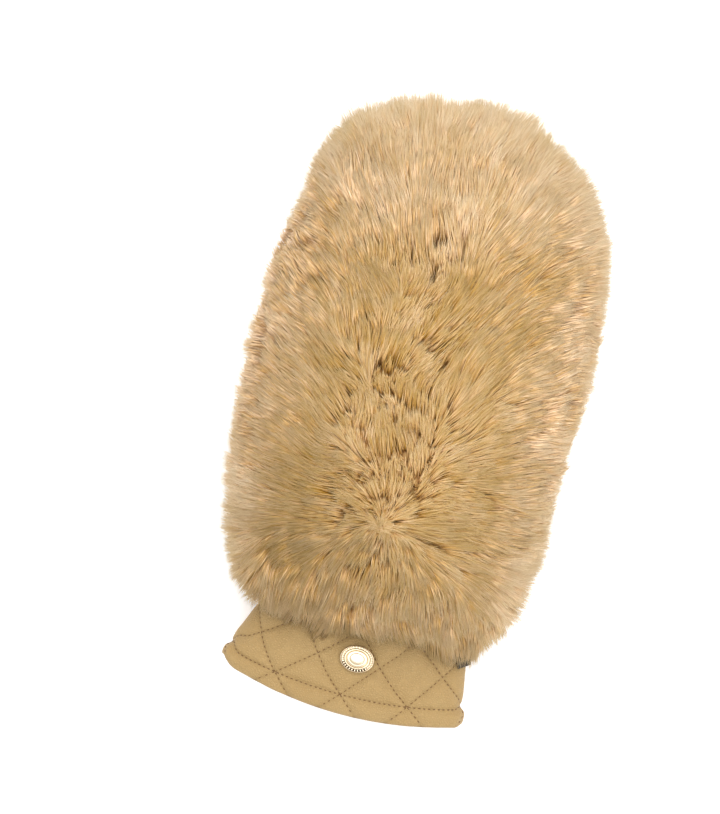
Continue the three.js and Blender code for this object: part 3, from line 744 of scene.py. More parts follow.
# The shares of the pull and of the radius that a hair may get.
PULL_SHARES, STEM_SHARES = (0.35, 1.0), (0.7, 1.25)
# Where the bend comes: this far up from the root, and this share of the lean back.
BEND_UP, BEND_BACK = 0.8, 0.55
# How much of the tint comes from the tuft, the hair itself and the lock.
TUFT_SHADE, OWN_SHADE, LOCK_SHADE = 0.26, 0.6, 0.24


def nearest(points, name):
    """What the nearest tuft or lock stored under a name."""
    index = add(planter, "GeometryNodeSampleNearest", {"Geometry": points})
    return add(planter, "GeometryNodeSampleIndex", {
        "Geometry": points, "Value": field[name], "Index": index},
        data_type=field[name].data_type)


# Each draw has a seed of its own, at input 8.
way = add(planter, CHANCE, {0: LOW_SWING, 1: HIGH_SWING, 8: 41}, data_type="FLOAT_VECTOR")
loose = add(planter, VECTORS, {0: way, 3: LOOSE}, operation="SCALE")
strayed = add(planter, VECTORS, {0: nearest(tufts, "stray"), 1: loose}, operation="ADD")
own_tip = add(planter, VECTORS, {0: place, 1: strayed}, operation="ADD")
held = add(planter, CHANCE, {2: PULL_SHARES[0], 3: PULL_SHARES[1], 8: 43})
pull = add(planter, MATH, {0: given["Tuft pull"], 1: held}, operation="MULTIPLY")
pulled = add(planter, MIX, {0: pull, 4: own_tip, 5: nearest(tufts, "summit")}, data_type="VECTOR")
full_tip = add(planter, VECTORS, {0: pulled, 1: nearest(locks, "stray")}, operation="ADD")
length = add(planter, CHANCE, {2: given["Shortest"], 3: given["Longest"], 8: 47})
# Each hair's tint starts from the guide's painted shade in the middle and painted rim light at the rims.
shade = field["pale"]
own_shade = add(planter, CHANCE, {2: 0.0, 3: 1.0, 8: 53})
for source, weight in ((nearest(tufts, "shade"), TUFT_SHADE), (own_shade, OWN_SHADE),
                       (nearest(locks, "shade"), LOCK_SHADE)):
    shade = add(planter, MATH, {0: source, 1: weight, 2: shade}, operation="MULTIPLY_ADD")
up = add(planter, MIX, {0: BEND_UP, 4: field["root"], 5: place}, data_type="VECTOR")
back = add(planter, VECTORS, {0: field["lean"], 3: BEND_BACK}, operation="SCALE")
varied = add(planter, CHANCE, {2: STEM_SHARES[0], 3: STEM_SHARES[1], 8: 59})
for name, value in {
    "hair_tip": add(planter, MIX, {0: length, 4: field["root"], 5: full_tip}, data_type="VECTOR"),
    "hair_root": add(planter, VECTORS, {0: field["root"], 1: field["lean"]}, operation="SUBTRACT"),
    "hair_bend": add(planter, VECTORS, {0: up, 1: back}, operation="SUBTRACT"),
    "tint": shade,
    "post": place,
    "lowest": add(planter, CHANCE, {2: LOWEST_TIPS[0], 3: LOWEST_TIPS[1], 8: 67}),
    "stem": add(planter, MATH, {0: given["Hair radius"], 1: varied}, operation="MULTIPLY"),
}.items():
    hairs = add(planter, STORE, {"Geometry": hairs, "Name": name, "Value": value},
                data_type=field[name].data_type)
print("nodes so far:", len(planter.nodes))

# %% A spindle on each hair's curve
# The spindle's foot and its widest ring, as shares of the hair. Its root lies in the undercoat.
FOOT_AT, RING_AT = 0.3, 0.62
# A direction that no hair lies along.
ASKEW = (0.31, 0.24, 0.92)
spindle = add(planter, "GeometryNodeMeshUVSphere", {"Segments": 3, "Rings": 2, "Radius": 1.0})
height = add(planter, SPLIT, {0: place}).outputs["Z"]
up_it = add(planter, MATH, {0: height, 1: 0.5, 2: 0.5}, operation="MULTIPLY_ADD")
spindle = add(planter, STORE, {"Geometry": spindle, "Name": "along", "Value": up_it})
spin = add(planter, CHANCE, {2: 0.0, 3: math.tau, 8: 61})
planted = add(planter, "GeometryNodeInstanceOnPoints", {
    "Points": hairs, "Instance": spindle, "Rotation": add(planter, JOIN, {2: spin})})
planted = add(planter, "GeometryNodeRealizeInstances", {0: planted})

from_post = add(planter, VECTORS, {0: place, 1: field["post"]}, operation="SUBTRACT")
unit = add(planter, SPLIT, {0: from_post}).outputs
off_ring = add(planter, MATH, {0: unit["Z"]}, operation="ABSOLUTE")
past_ring = (1 + FOOT_AT) / 2 - RING_AT
share = add(planter, MATH, {0: off_ring, 1: past_ring, 2: RING_AT}, operation="MULTIPLY_ADD")
share = add(planter, MATH, {0: unit["Z"], 1: (1 - FOOT_AT) / 2, 2: share}, operation="MULTIPLY_ADD")
lower = add(planter, MIX, {0: share, 4: field["hair_root"], 5: field["hair_bend"]}, data_type="VECTOR")
upper = add(planter, MIX, {0: share, 4: field["hair_bend"], 5: field["hair_tip"]}, data_type="VECTOR")
free = add(planter, MIX, {0: share, 4: lower, 5: upper}, data_type="VECTOR")
free = add(planter, SPLIT, {0: free}).outputs
above = add(planter, MATH, {0: free["Z"], 1: field["lowest"]}, operation="MAXIMUM")
line = add(planter, JOIN, {0: free["X"], 1: free["Y"], 2: above})
heading = add(planter, VECTORS, {0: upper, 1: lower}, operation="SUBTRACT")
heading = add(planter, VECTORS, {0: heading}, operation="NORMALIZE")
side = add(planter, VECTORS, {0: ASKEW, 1: heading}, operation="CROSS_PRODUCT")
side = add(planter, VECTORS, {0: side}, operation="NORMALIZE")
other = add(planter, VECTORS, {0: heading, 1: side}, operation="CROSS_PRODUCT")
sideways = {}
for key, way, size in ((0, side, unit["X"]), (1, other, unit["Y"])):
    thick = add(planter, MATH, {0: size, 1: field["stem"]}, operation="MULTIPLY")
    sideways[key] = add(planter, VECTORS, {0: way, 3: thick}, operation="SCALE")
offset = add(planter, VECTORS, sideways, operation="ADD")
final = add(planter, VECTORS, {0: line, 1: offset}, operation="ADD")
moved = add(planter, "GeometryNodeSetPosition", {"Geometry": planted, "Position": final})
close_tree(planter, given, moved, [name for name in field if name not in ("tint", "along")])
print("nodes in the planter:", len(planter.nodes))

# %% Plant the hair
BANDS = 5
PLANTING = {
    "Hairs per m2": 2.16e6, "Hair radius": 0.00021, "Tuft spacing": 0.0042,
    "Lock spacing": 0.014, "Shortest": 0.78, "Longest": 1.3, "Tuft pull": 0.3, "Wildness": 1.0,
    "Material": guard_hair}
across = np.linalg.norm(np.diff(tips, axis=1), axis=-1).sum(1)
travel = np.linalg.norm(np.diff(tips[:, tips.shape[1] // 2], axis=0), axis=-1)
covered = np.concatenate([[0], np.cumsum(across[1:] * travel)])
ends = np.searchsorted(covered, covered[-1] * np.arange(BANDS + 1) / BANDS)
ends[-1] = len(PLACES) - 1
fur_pieces = []
for k in range(BANDS):
    band = guide_band(f"fur_guard_hair_{k + 1}", ends[k], ends[k + 1])
    fur_pieces.append(grow(band, planter, {**PLANTING, "Seed": 5 + k}))
    tell(band)

# %% [markdown]
# ## The undercoat
# Under the long hair lies a short dense layer that closes the gaps between the tufts; its colour is
# painted browner than the tips, as the shade deep in the pile. Single fibres of it would cost a
# million faces and hardly show, so it is one soft quilt of pile: a sheet half way between the backing
# and the tips, roughened with noise, with a second sheet just above the backing and a rim that joins the
# two.

# %% Undercoat
# How far up the pile its top comes, below and above the hand, and its foot.
UNDERCOAT_SHARE, UPWARDS_SPAN = (0.34, 0.62), (-0.2, 0.5)
UNDERCOAT_FOOT = 0.06
UNDERCOAT_START_Y = 45.0
ROUGHNESS, ROUGH_SIZES, FINE_SHARE = 1.4, (6.0, 2.6), 0.6
LOWEST_TOP, LOWEST_FOOT, UNDERCOAT_CLEAR = 1.2, 0.8, 6.0
UNDERCOAT_TINT, TINT_VARIES, TINT_SIZE = 0.42, 0.2, 9.0


def closed_layer(name, top, foot, quads, kept):
    """A closed layer between two sheets of points, over the quads that are kept."""
    lower = top.size // 3
    padded = np.pad(kept, 1)
    faces = []
    for j, i in zip(*np.nonzero(kept)):
        loop = quads[j, i]
        faces += [loop, loop[::-1] + lower]
        for k, (b, a) in enumerate(((0, -1), (1, 0), (0, 1), (-1, 0))):
            if not padded[j + b + 1, i + a + 1]:
                p, q = loop[k], loop[(k + 1) % 4]
                faces.append([q, p, p + lower, q + lower])
    return sheet_of(name, np.stack([top, foot]), np.array(faces))[0]


coarse = np.ix_(range(0, len(PLACES), 2), range(0, len(ANGLES), 2))
ends_at, starts_at, way_up = tips[coarse], roots[coarse], out[coarse]
share_low, share_high = UNDERCOAT_SHARE
share = share_low + (share_high - share_low) * ease(way_up[..., 2:], *UPWARDS_SPAN)
top = starts_at + (ends_at - starts_at) * share
rough = noise_at(top, ROUGH_SIZES[0]) + FINE_SHARE * noise_at(top, ROUGH_SIZES[1], 1)
top += way_up * rough[..., None] * ROUGHNESS
top[..., 2] = np.maximum(top[..., 2], LOWEST_TOP)
foot = starts_at + (ends_at - starts_at) * UNDERCOAT_FOOT
foot[..., 2] = np.maximum(foot[..., 2], LOWEST_FOOT)
clear = UNDERCOAT_CLEAR + TIP_LEVEL * ease(ends_at[..., 1], *TIP_LEVEL_SPAN)
covers = ~bare[coarse] & (top[..., 1] > UNDERCOAT_START_Y) & (ends_at[..., 2] > clear)
quads = grid_quads(*covers.shape)[:, :-1]
undercoat = closed_layer("fur_undercoat", top, foot, quads, covers.ravel()[quads].all(-1))
undercoat.data.shade_smooth()
undercoat.data.materials.append(undercoat_fibre)
store(undercoat, "tint", UNDERCOAT_TINT + TINT_VARIES * noise_at(drawn(undercoat), TINT_SIZE, 6))
tell(undercoat)

# %% [markdown]
# ## Leather, its flesh side, and the backing
# The mitten's leather is drum-dyed and pressed with a fine pebble grain: a matte skin of small
# flat cells with thin creases between them. Its flesh side, which shows inside, is a soft suede.
# The fur's backing is a tight knit. A seam, a fold or a row of stitches is painted darker, as the
# shade that falls into it: the mesh carries that painted shade under a name of its own.

# %% Leather, suede and knit
# Real sizes in millimetres. Pebble grain is about 0.5 mm, and is drawn twice as coarse to show.
GRAIN_MM, WRINKLE_MM, BLOTCH_MM = 0.95, 2.4, 16
SUEDE_NAP_MM, KNIT_STITCH_MM, RUBBED_MM = 0.5, 1.6, 14


def scale_of(size):
    """A texture's scale for lumps of a given size in millimetres, on coordinates in metres."""
    return 1 / (size * MM)


def grained_leather(name, face, shade, crease):
    """Pebble-grained leather. Finished hide has an IOR near 1.5 and a roughness of about 0.55."""
    made, tree = material(name)
    place = add(tree, "ShaderNodeTexCoord").outputs["Object"]
    groove = add(tree, "ShaderNodeAttribute", attribute_name="groove").outputs["Fac"]
    blotch = add(tree, "ShaderNodeTexNoise", {
        "Vector": place, "Scale": scale_of(BLOTCH_MM), "Detail": 3.0}).outputs["Fac"]
    cells = add(tree, "ShaderNodeTexVoronoi", {"Vector": place, "Scale": scale_of(GRAIN_MM)},
                feature="DISTANCE_TO_EDGE").outputs["Distance"]
    wrinkle = add(tree, "ShaderNodeTexNoise", {
        "Vector": place, "Scale": scale_of(WRINKLE_MM), "Detail": 4.0, "Roughness": 0.6,
        "Distortion": 0.8}).outputs["Fac"]
    pore = add(tree, "ShaderNodeMapRange", {"Value": cells, "From Min": 0.0, "From Max": 0.3},
               interpolation_type="SMOOTHSTEP")
    toned = add(tree, MIX, {0: blotch, 6: colour(face), 7: colour(shade)}, data_type="RGBA")
    pored = add(tree, "ShaderNodeMapRange", {"Value": pore, "To Min": 0.12, "To Max": 0.0})
    # The crease colour darkens the grain's own creases, and also paints shade into the seams, folds and
    # stitching.
    deep = add(tree, MATH, {0: groove, 1: pored}, operation="MAXIMUM")
    creased = add(tree, MIX, {0: deep, 6: toned, 7: colour(crease)}, data_type="RGBA")
    height = add(tree, MATH, {0: wrinkle, 1: 1.6, 2: pore}, operation="MULTIPLY_ADD")
    bump = add(tree, "ShaderNodeBump", {"Height": height, "Strength": 0.8, "Distance": 0.00028})
    rough = add(tree, "ShaderNodeMapRange", {"Value": pore, "To Min": 0.7, "To Max": 0.5})
    shader = add(tree, "ShaderNodeBsdfPrincipled", {
        "Base Color": creased, "Roughness": rough, "IOR": 1.5, "Specular IOR Level": 0.42,
        "Normal": bump, "Sheen Weight": 0.06, "Sheen Roughness": 0.5, "Sheen Tint": colour("#F1DDBD")})
    add(tree, "ShaderNodeOutputMaterial", {"Surface": shader})
    return made


def napped(name, face, shade, size, rough):
    """A soft nap or knit: two tones of noise at the size of its fibres, and no gloss."""
    made, tree = material(name)
    place = add(tree, "ShaderNodeTexCoord").outputs["Object"]
    nap, rubbed = (
        add(tree, "ShaderNodeTexNoise", {
            "Vector": place, "Scale": scale_of(width), "Detail": detail}).outputs["Fac"]
        for width, detail in ((size, 3.0), (RUBBED_MM, 2.0)))
    blend = add(tree, MATH, {0: nap, 1: rubbed}, operation="MULTIPLY")
    share = add(tree, "ShaderNodeMapRange", {"Value": blend, "From Min": 0.1, "From Max": 0.45})
    toned = add(tree, MIX, {0: share, 6: colour(shade), 7: colour(face)}, data_type="RGBA")
    bump = add(tree, "ShaderNodeBump", {"Height": nap, "Strength": 0.7, "Distance": 0.0003})
    shader = add(tree, "ShaderNodeBsdfPrincipled", {
        "Base Color": toned, "Roughness": rough, "IOR": 1.5, "Specular IOR Level": 0.2,
        "Normal": bump, "Sheen Weight": 0.3, "Sheen Roughness": 0.5, "Sheen Tint": colour("#EBD8B6")})
    add(tree, "ShaderNodeOutputMaterial", {"Surface": shader})
    return made


pebbled_leather = grained_leather("pebble_grained_leather", "#B09362", "#A68754", "#6E5226")
flesh_suede = napped("flesh_side_suede", "#CDB48A", "#B0925F", SUEDE_NAP_MM, 0.95)
backing_knit = napped("knitted_backing", "#C4A373", "#A17C4C", KNIT_STITCH_MM, 0.92)
print("leather materials:", pebbled_leather.name, flesh_suede.name, backing_knit.name)

# %% [markdown]
# ## The hollow hand
# The palm, the thumb, the edge band and the fur's backing are one hollow form, sewn together from
# flat cut pieces. So it is made the same way round: one outer form and one inner form for the
# hand and for the thumb, joined and hollowed, and then parted along the seams. Where the leather
# is sewn, it rolls inwards, so the points near a seam are pushed in before the parting, and
# gentle folds run over the rest.

# %% Leather that rolls in at its seams
WRIST_Y = 46.0
WEB_Y = 118.0
SEAM_ROLL_WIDTH, SEAM_ROLL_DEPTH = 1.5, 0.75
GROOVE_WIDTH, SEAM_PAINTED_SHADE = 0.7, 0.75
FACES_DOWN = 0.35
FOLDS, FOLD_SIZES, SMALL_FOLDS, FOLD_STRETCH = 0.35, (9.0, 4.5), 0.5, (1, 0.45, 1)
FOLDS_ABOVE = 0.4
FAR, LINE_PART = 99.0, 40
web_seam = np.array([(x, WEB_Y) for x in np.linspace(-37, 24, 60)])
seam_lines = [leather_edge, band_seam, web_seam]


def near(points, line, width):
    """From 1 on a line seen from above to 0 well away from it."""
    flat = points[:, :2]
    distance = np.full(len(flat), FAR)
    for start in range(0, len(line), LINE_PART):
        part = line[None, start:start + LINE_PART]
        gap = np.linalg.norm(flat[:, None] - part, axis=-1).min(1)
        distance = np.minimum(distance, gap)
    return np.exp(-(distance / width) ** 2)


def roll_seams(made):
    """Rolls the leather in along its seams, folds it a little, and paints shade along the seams."""
    points = drawn(made)
    normals = np.array([vertex.normal[:] for vertex in made.data.vertices])
    below = normals[:, 2] < FACES_DOWN
    seam = np.max([near(points, line, SEAM_ROLL_WIDTH) for line in seam_lines], 0) * below
    fold = noise_at(points * FOLD_STRETCH, FOLD_SIZES[0], 3)
    fold += SMALL_FOLDS * noise_at(points, FOLD_SIZES[1], 5)
    depth = SEAM_ROLL_DEPTH * seam + FOLDS * fold * (points[:, 2] > FOLDS_ABOVE)
    moved = points - normals * depth[:, None]
    moved[:, 2] = np.maximum(moved[:, 2], 0)
    made.data.vertices.foreach_set("co", placed(moved).ravel())
    tight = np.max([near(points, line, GROOVE_WIDTH) for line in seam_lines], 0) * below
    store(made, "groove", SEAM_PAINTED_SHADE * tight)


print("seam lines:", len(seam_lines), "with", sum(map(len, seam_lines)), "points")

# %% The hollow wall and its cutting tools
LEATHER_WALL = 2.2
SEAM_GAP = 0.3
THUMB_END = 185.0
BACKING_ABOVE_FLOOR = 2.4
FINE_HAND, FINE_THUMB = {"rings": 150, "sides": 190}, {"rings": 110, "sides": 110}
PLAIN_HAND, PLAIN_THUMB = {"rings": 60, "sides": 90}, {"rings": 24, "sides": 30}
HAND_ROOM, THUMB_ROOM = {"rings": 50, "sides": 72}, {"rings": 40, "sides": 48}
ROOM_STARTS_BEFORE = 4
FLOOR_TO_TOP = (-10, 80)
half = SEAM_GAP / 2


def hollow_wall(name, hand_mesh, thumb_mesh, face, sewn, rest=0.0):
    """The outer forms of hand and thumb joined, less the room inside."""
    hand = pod(name, HAND_ROWS, start_y=WRIST_Y + SEAM_GAP, rest=rest, **hand_mesh)
    thumb_form = pod("thumb_form", THUMB_ROWS, rest=rest, **thumb_mesh)
    room = {"inset": LEATHER_WALL, "rest": LEATHER_WALL + rest}
    hand_room = pod("hand_room", HAND_ROWS, start_y=WRIST_Y - ROOM_STARTS_BEFORE, **HAND_ROOM, **room)
    thumb_room = pod("thumb_room", THUMB_ROWS, **THUMB_ROOM, **room)
    for made in (hand, thumb_form):
        made.data.materials.append(face)
        if sewn:
            roll_seams(made)
    for made in (hand_room, thumb_room):
        made.data.materials.append(flesh_suede)
    cut(hand, thumb_form, "UNION")
    cut(hand, hand_room)
    return cut(hand, thumb_room)


def slab_below_middle():
    """All that lies below the middle of the hand's sections."""
    y = np.arange(0, 261, 20.0)
    row = row_at(HAND_ROWS, place_of(HAND_ROWS, np.clip(y, WRIST_Y, 240)))
    middle = np.stack([y, (row[:, 3] + row[:, 4]) / 2], -1)
    side = np.concatenate([[(0, -20), (260, -20)], middle[::-1]])
    return prism("below_middle", *(np.insert(side, 0, x, 1) for x in (-100, 100)))


below_middle = slab_below_middle()


def cutter(outline, distance):
    """All below the middle of the hand and inside an outline that is grown by a distance."""
    loops = (np.insert(grown(outline, distance), 2, z, 1) for z in FLOOR_TO_TOP)
    return cut(prism("cutter", *loops), below_middle, "INTERSECT", keep_tool=True)


def thumb_zone(shift):
    """All that lies on the thumb's side of its seam."""
    upper = box("thumb_zone", (-60, 60), (0, THUMB_END + shift), (-10, THUMB_TOP + SEAM_GAP + shift))
    return cut(box("zone", (-60, 60), (0, WEB_Y + shift), FLOOR_TO_TOP), upper, "UNION")


print("walls, mm:", LEATHER_WALL, "with gaps of", SEAM_GAP, "at the seams")

# %% Cut the palm, the thumb, the edge band and the backing
RING_ENDS = [20, 112, 195, 260]
SHARP_FROM = 38
fine_wall = hollow_wall("leather_wall", FINE_HAND, FINE_THUMB, pebbled_leather, True)
leather_all = cut(copy_of(fine_wall, "leather_all"), cutter(closed_edge, -half), "INTERSECT")
palm_side = cut(copy_of(leather_all, "palm_side"), cutter(closed_seam, -half), "INTERSECT")
edge_band = cut(copy_of(leather_all, "leather_edge_band"), cutter(closed_seam, half))
palm = cut(copy_of(palm_side, "leather_palm"), thumb_zone(half))
thumb = cut(copy_of(palm_side, "leather_thumb"), thumb_zone(-half), "INTERSECT")
plain_wall = hollow_wall("backing_wall", PLAIN_HAND, PLAIN_THUMB, backing_knit, False, BACKING_ABOVE_FLOOR)
backing_all = cut(plain_wall, cutter(closed_edge, half))
backing_rings = []
for title, low_y, high_y in zip(("wrist", "hand", "tip"), RING_ENDS, RING_ENDS[1:]):
    ring_box = box("ring_box", (-100, 100), (low_y + half, high_y - half), (-10, 100))
    ring = cut(copy_of(backing_all, f"fur_knitted_backing_{title}"), ring_box, "INTERSECT")
    backing_rings.append(ring)
for spare in (fine_wall, leather_all, palm_side, backing_all, below_middle):
    bpy.data.objects.remove(spare)
for made in (edge_band, palm, thumb, *backing_rings):
    smooth(made, SHARP_FROM)
    tell(made)

# %% [markdown]
# ## The quilted cuff
# The cuff is leather sewn over thin wadding in a pattern of diamonds, with a padded roll at the
# mouth. Cloth simulation could puff each diamond, but here the rule is simple: the face lies
# deepest along the stitches and rises softly away from them. So the height is worked out from
# the distance to the nearest row of stitches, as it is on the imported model, only much finer, with
# a tight crease under the thread. The palm side is plain, and elastic gathers it at the wrist.

# %% How deep the stitching pulls
# Diamonds are counted in halves, along the cuff and up it from the row above the hem.
HALF_DIAMOND = 14.25
HALF_DIAMONDS_ROUND = 16
QUILT_DEPTH, HEM_ROW_SOFT = 1.05, 3
CREASE_DEPTH, CREASE_WIDTH = 0.32, 0.6
DIAGONAL_SOFT, DIAGONAL_SLANT = 1.5, 0.71
GATHER_DEPTH, GATHERS_PER_DIAMOND, GATHER_SPAN = 1.1, 3, (1.2, 1.9)
# How much painted shade falls down the sides of each puff, and into the gathers.
QUILT_PAINTED_SHADE, GATHER_PAINTED_SHADE = 0.6, 0.5


def relief(along, up, under):
    """How far stitching pulls the face in, and how much painted shade a point gets near the thread, in the
    gathers and down the sides of each puff.
    """
    def off_line(value):
        return np.abs(value - 2 * np.round(value / 2))
    off_diagonal = np.minimum(off_line(along + up), off_line(along - up))
    off_hem = np.abs(up)
    soft = np.minimum(np.minimum(off_diagonal * DIAGONAL_SOFT, off_hem * HEM_ROW_SOFT), 1)
    diagonal = np.exp(-(off_diagonal * HALF_DIAMOND * DIAGONAL_SLANT / CREASE_WIDTH) ** 2)
    hem_row = np.exp(-(off_hem * HALF_DIAMOND / CREASE_WIDTH) ** 2)
    thread = np.maximum(diagonal * (1 - under), hem_row)
    plain = under * np.minimum(off_hem * HEM_ROW_SOFT, 1)
    gathered = under * ease(up, *GATHER_SPAN)
    tuck = 0.5 - 0.5 * np.cos(along * np.pi * GATHERS_PER_DIAMOND)
    pillow = (1 - soft) ** 2 * (1 - plain)
    depth = QUILT_DEPTH * pillow + CREASE_DEPTH * thread + GATHER_DEPTH * tuck * gathered
    return depth, np.maximum(thread, GATHER_PAINTED_SHADE * gathered * tuck) + QUILT_PAINTED_SHADE * pillow


print("diamonds, mm:", 2 * HALF_DIAMOND, "with the stitching", QUILT_DEPTH + CREASE_DEPTH, "deep")

# %% The cuff's surface
CUFF_WALL = 2.6
HEM_DEPTH, HEM_ROUND, HEM_PUFF, HEM_LONGER = 8.0, 1.3, 0.6, 1.2
HEM_BOW, PALM_HEM_BOW, HEM_SLOPE = 8.0, 3.0, -0.055
CORNER_ROUND, CORNER_REACH = 3.2, 5.0
PLAIN_SPAN = (0.2, 0.7)
# At the cuff's two sides the roll of the hem is fuller, its edge blunter, and the seam a notch.
SIDE_NEAR, SIDE_TIGHT = 0.12, 0.05
ROLL_FULLNESS, ROLL_SPAN, ROLL_SMOOTHS, HEM_BLUNT = 1.2, (0.5, 3), 0.8, 0.85
SIDE_NOTCH, NOTCH_WIDTH = 0.5, 1.6
MIDDLE_Y, TURN_STEPS = 20, 1440
middle_row = row_at(CUFF_ROWS, place_of(CUFF_ROWS, MIDDLE_Y))
turn_angles = np.pi / 2 + np.linspace(0, 2 * np.pi, TURN_STEPS + 1)
steps_round = np.linalg.norm(np.diff(oval(middle_row, turn_angles), axis=0), axis=1)
girth_at = np.concatenate([[0], np.cumsum(steps_round)])


def cuff_surface(along, from_hem, inset=0.0, quilted=True):
    """Points on the cuff by half diamonds round it and millimetres up from its hem, and the painted shade
    at each.
    """
    along, from_hem = np.broadcast_arrays(np.asarray(along, float), np.asarray(from_hem, float))
    share = (along / HALF_DIAMONDS_ROUND) % 1
    angle = np.interp(share * girth_at[-1], girth_at, turn_angles)
    across = oval(middle_row, angle)[..., 0] / middle_row[1]
    back = np.sin(angle) > 0
    bow = np.where(back, HEM_BOW * across ** 2, HEM_BOW - PALM_HEM_BOW * (1 - across ** 2))
    into_corner = np.clip((np.abs(across) - 1) * middle_row[1] / CORNER_REACH + 1, 0, 1)
    hem = bow + HEM_SLOPE * across * CUFF_ROWS[0, 1] + CORNER_ROUND * into_corner ** 2 - HEM_LONGER
    y = hem + (WRIST_Y - hem) * from_hem / WRIST_Y
    under = ease(-np.sin(angle), *PLAIN_SPAN)
    depth, thread = relief(along, (from_hem - HEM_DEPTH) / HALF_DIAMOND, under)
    off_side = 1 - np.abs(np.cos(angle))
    near_side = np.exp(-(off_side / SIDE_NEAR) ** 2)
    side = np.exp(-(off_side / SIDE_TIGHT) ** 2)
    in_roll = near_side * ease(HEM_DEPTH - from_hem, *ROLL_SPAN)
    depth = depth * (1 - ROLL_SMOOTHS * in_roll) - ROLL_FULLNESS * in_roll * (1 - side)
    depth = depth + SIDE_NOTCH * side * np.exp(-((from_hem - HEM_DEPTH) / NOTCH_WIDTH) ** 2)
    depth = depth - HEM_PUFF * np.sin(np.pi * np.clip(from_hem / HEM_DEPTH, 0, 1))
    if inset < CUFF_WALL:
        inset = inset * (1 - HEM_BLUNT * near_side)
    pulled = depth if quilted else 0 * depth
    row = row_at(CUFF_ROWS, place_of(CUFF_ROWS, y))
    points = oval(row, angle, inset + pulled, rest=inset + pulled * under)
    points[..., 1] = y
    return points, thread if quilted else 0 * thread


# Wear in the face, in millimetres: how high its lumps are and how wide.
LARGE_WEAR, SMALL_WEAR = (0.16, 7.0), (0.07, 2.6)
cuff_middle = np.array([middle_row[2], 0, (middle_row[3] + middle_row[4]) / 2])


def wrinkled(points):
    """Points of the cuff's face moved in and out a little, as worn leather is."""
    wrinkle = LARGE_WEAR[0] * noise_at(points, LARGE_WEAR[1], 11)
    wrinkle += SMALL_WEAR[0] * noise_at(points, SMALL_WEAR[1], 13)
    away = (points - cuff_middle) * (1, 0, 1)
    away /= np.linalg.norm(away, axis=-1, keepdims=True)
    return points + away * wrinkle[..., None]


print("cuff girth, mm:", round(girth_at[-1], 1))

# %% The cuff's mesh
CUFF_SIDES = 320
# How strongly the stitching's painted shade darkens the cuff's leather.
CUFF_PAINTED_SHADE = 0.14
round_share = np.arange(CUFF_SIDES) * HALF_DIAMONDS_ROUND / CUFF_SIDES
hem_turn = np.radians(np.linspace(-70, 90, 9))
face_rings = [(HEM_ROUND * (1 - math.cos(a)), HEM_ROUND * (1 - math.sin(a))) for a in hem_turn]
face_rings += [(up, 0.0) for up in np.linspace(HEM_ROUND, WRIST_Y, 65)[1:]]
inner_rings = [(up, CUFF_WALL) for up in np.linspace(WRIST_Y, HEM_ROUND, 20)]
rings, painted_shades = zip(*(cuff_surface(round_share, up, inset, quilted=inset < HEM_ROUND)
                       for up, inset in face_rings + inner_rings))
rings = np.stack(rings)
rings[:len(face_rings)] = wrinkled(rings[:len(face_rings)])
rings[..., 2] = np.maximum(rings[..., 2], 0)
quads = grid_quads(len(rings), CUFF_SIDES, endless=True)
cuff = object_of("leather_quilted_cuff", rings.reshape(-1, 3), quads.reshape(-1, 4).tolist())
store(cuff, "groove", CUFF_PAINTED_SHADE * np.concatenate(painted_shades))
cuff.data.materials.append(pebbled_leather)
cuff.data.materials.append(flesh_suede)
inner_faces = np.repeat(np.arange(len(rings)) > len(face_rings), CUFF_SIDES)
cuff.data.polygons.foreach_set("material_index", inner_faces.astype(np.int32))
cuff.data.shade_smooth()
tell(cuff)

# %% [markdown]
# ## Stitches
# Polyester thread goes in and out of the leather about every two millimetres. Each stitch that
# shows is a short, plump dash whose ends sink into its holes. One dash is modelled, and Geometry
# Nodes set it along every row: the row is cut into equal steps, and each dash turns to lie along
# the row and flat on the leather.

# %% Thread and the sewer's tree
STITCH_PITCH = 2.15
STITCH_SIZE = (0.66, 0.26, 0.2)
# Spun thread is matte and a little fuzzy, with plies that catch the light in two tones of brown.
PLY_MM = 0.6
thread_polyester, tree = material("spun_polyester_thread")
coordinates = add(tree, "ShaderNodeTexCoord").outputs["Object"]
ply = add(tree, "ShaderNodeTexNoise", {"Vector": coordinates, "Scale": scale_of(PLY_MM)}).outputs["Fac"]
ply_tone = add(tree, MIX, {0: ply, 6: colour("#57390F"), 7: colour("#7A541E")}, data_type="RGBA")
shader = add(tree, "ShaderNodeBsdfPrincipled", {
    "Base Color": ply_tone, "Roughness": 0.6, "IOR": 1.5, "Sheen Weight": 0.15})
add(tree, "ShaderNodeOutputMaterial", {"Surface": shader})

sewer, given = new_tree("sew_stitches", {"Pitch": "Float", "Size": "Vector"})
rows = add(sewer, "GeometryNodeMeshToCurve", {"Mesh": given["Geometry"]})
steps = add(sewer, "GeometryNodeResampleCurve", {"Curve": rows, "Length": given["Pitch"]}, mode="LENGTH")
facing = add(sewer, "GeometryNodeInputNamedAttribute", {"Name": "facing"}, data_type="FLOAT_VECTOR")
flat = add(sewer, "FunctionNodeAlignRotationToVector", {"Vector": facing}, axis="Z")
turned = add(sewer, "FunctionNodeAlignRotationToVector", {
    "Rotation": flat, "Vector": add(sewer, "GeometryNodeInputTangent")}, axis="X", pivot_axis="Z")
varied = add(sewer, CHANCE, {0: (0.88, 0.9, 0.85), 1: (1.05, 1.1, 1.1), 8: given["Seed"]},
             data_type="FLOAT_VECTOR")
dash = add(sewer, "GeometryNodeMeshUVSphere", {"Segments": 6, "Rings": 4, "Radius": 1.0})
dash = add(sewer, "GeometryNodeTransform", {"Geometry": dash, "Scale": given["Size"]})
sewn = add(sewer, "GeometryNodeInstanceOnPoints", {
    "Points": steps, "Instance": dash, "Rotation": turned, "Scale": varied})
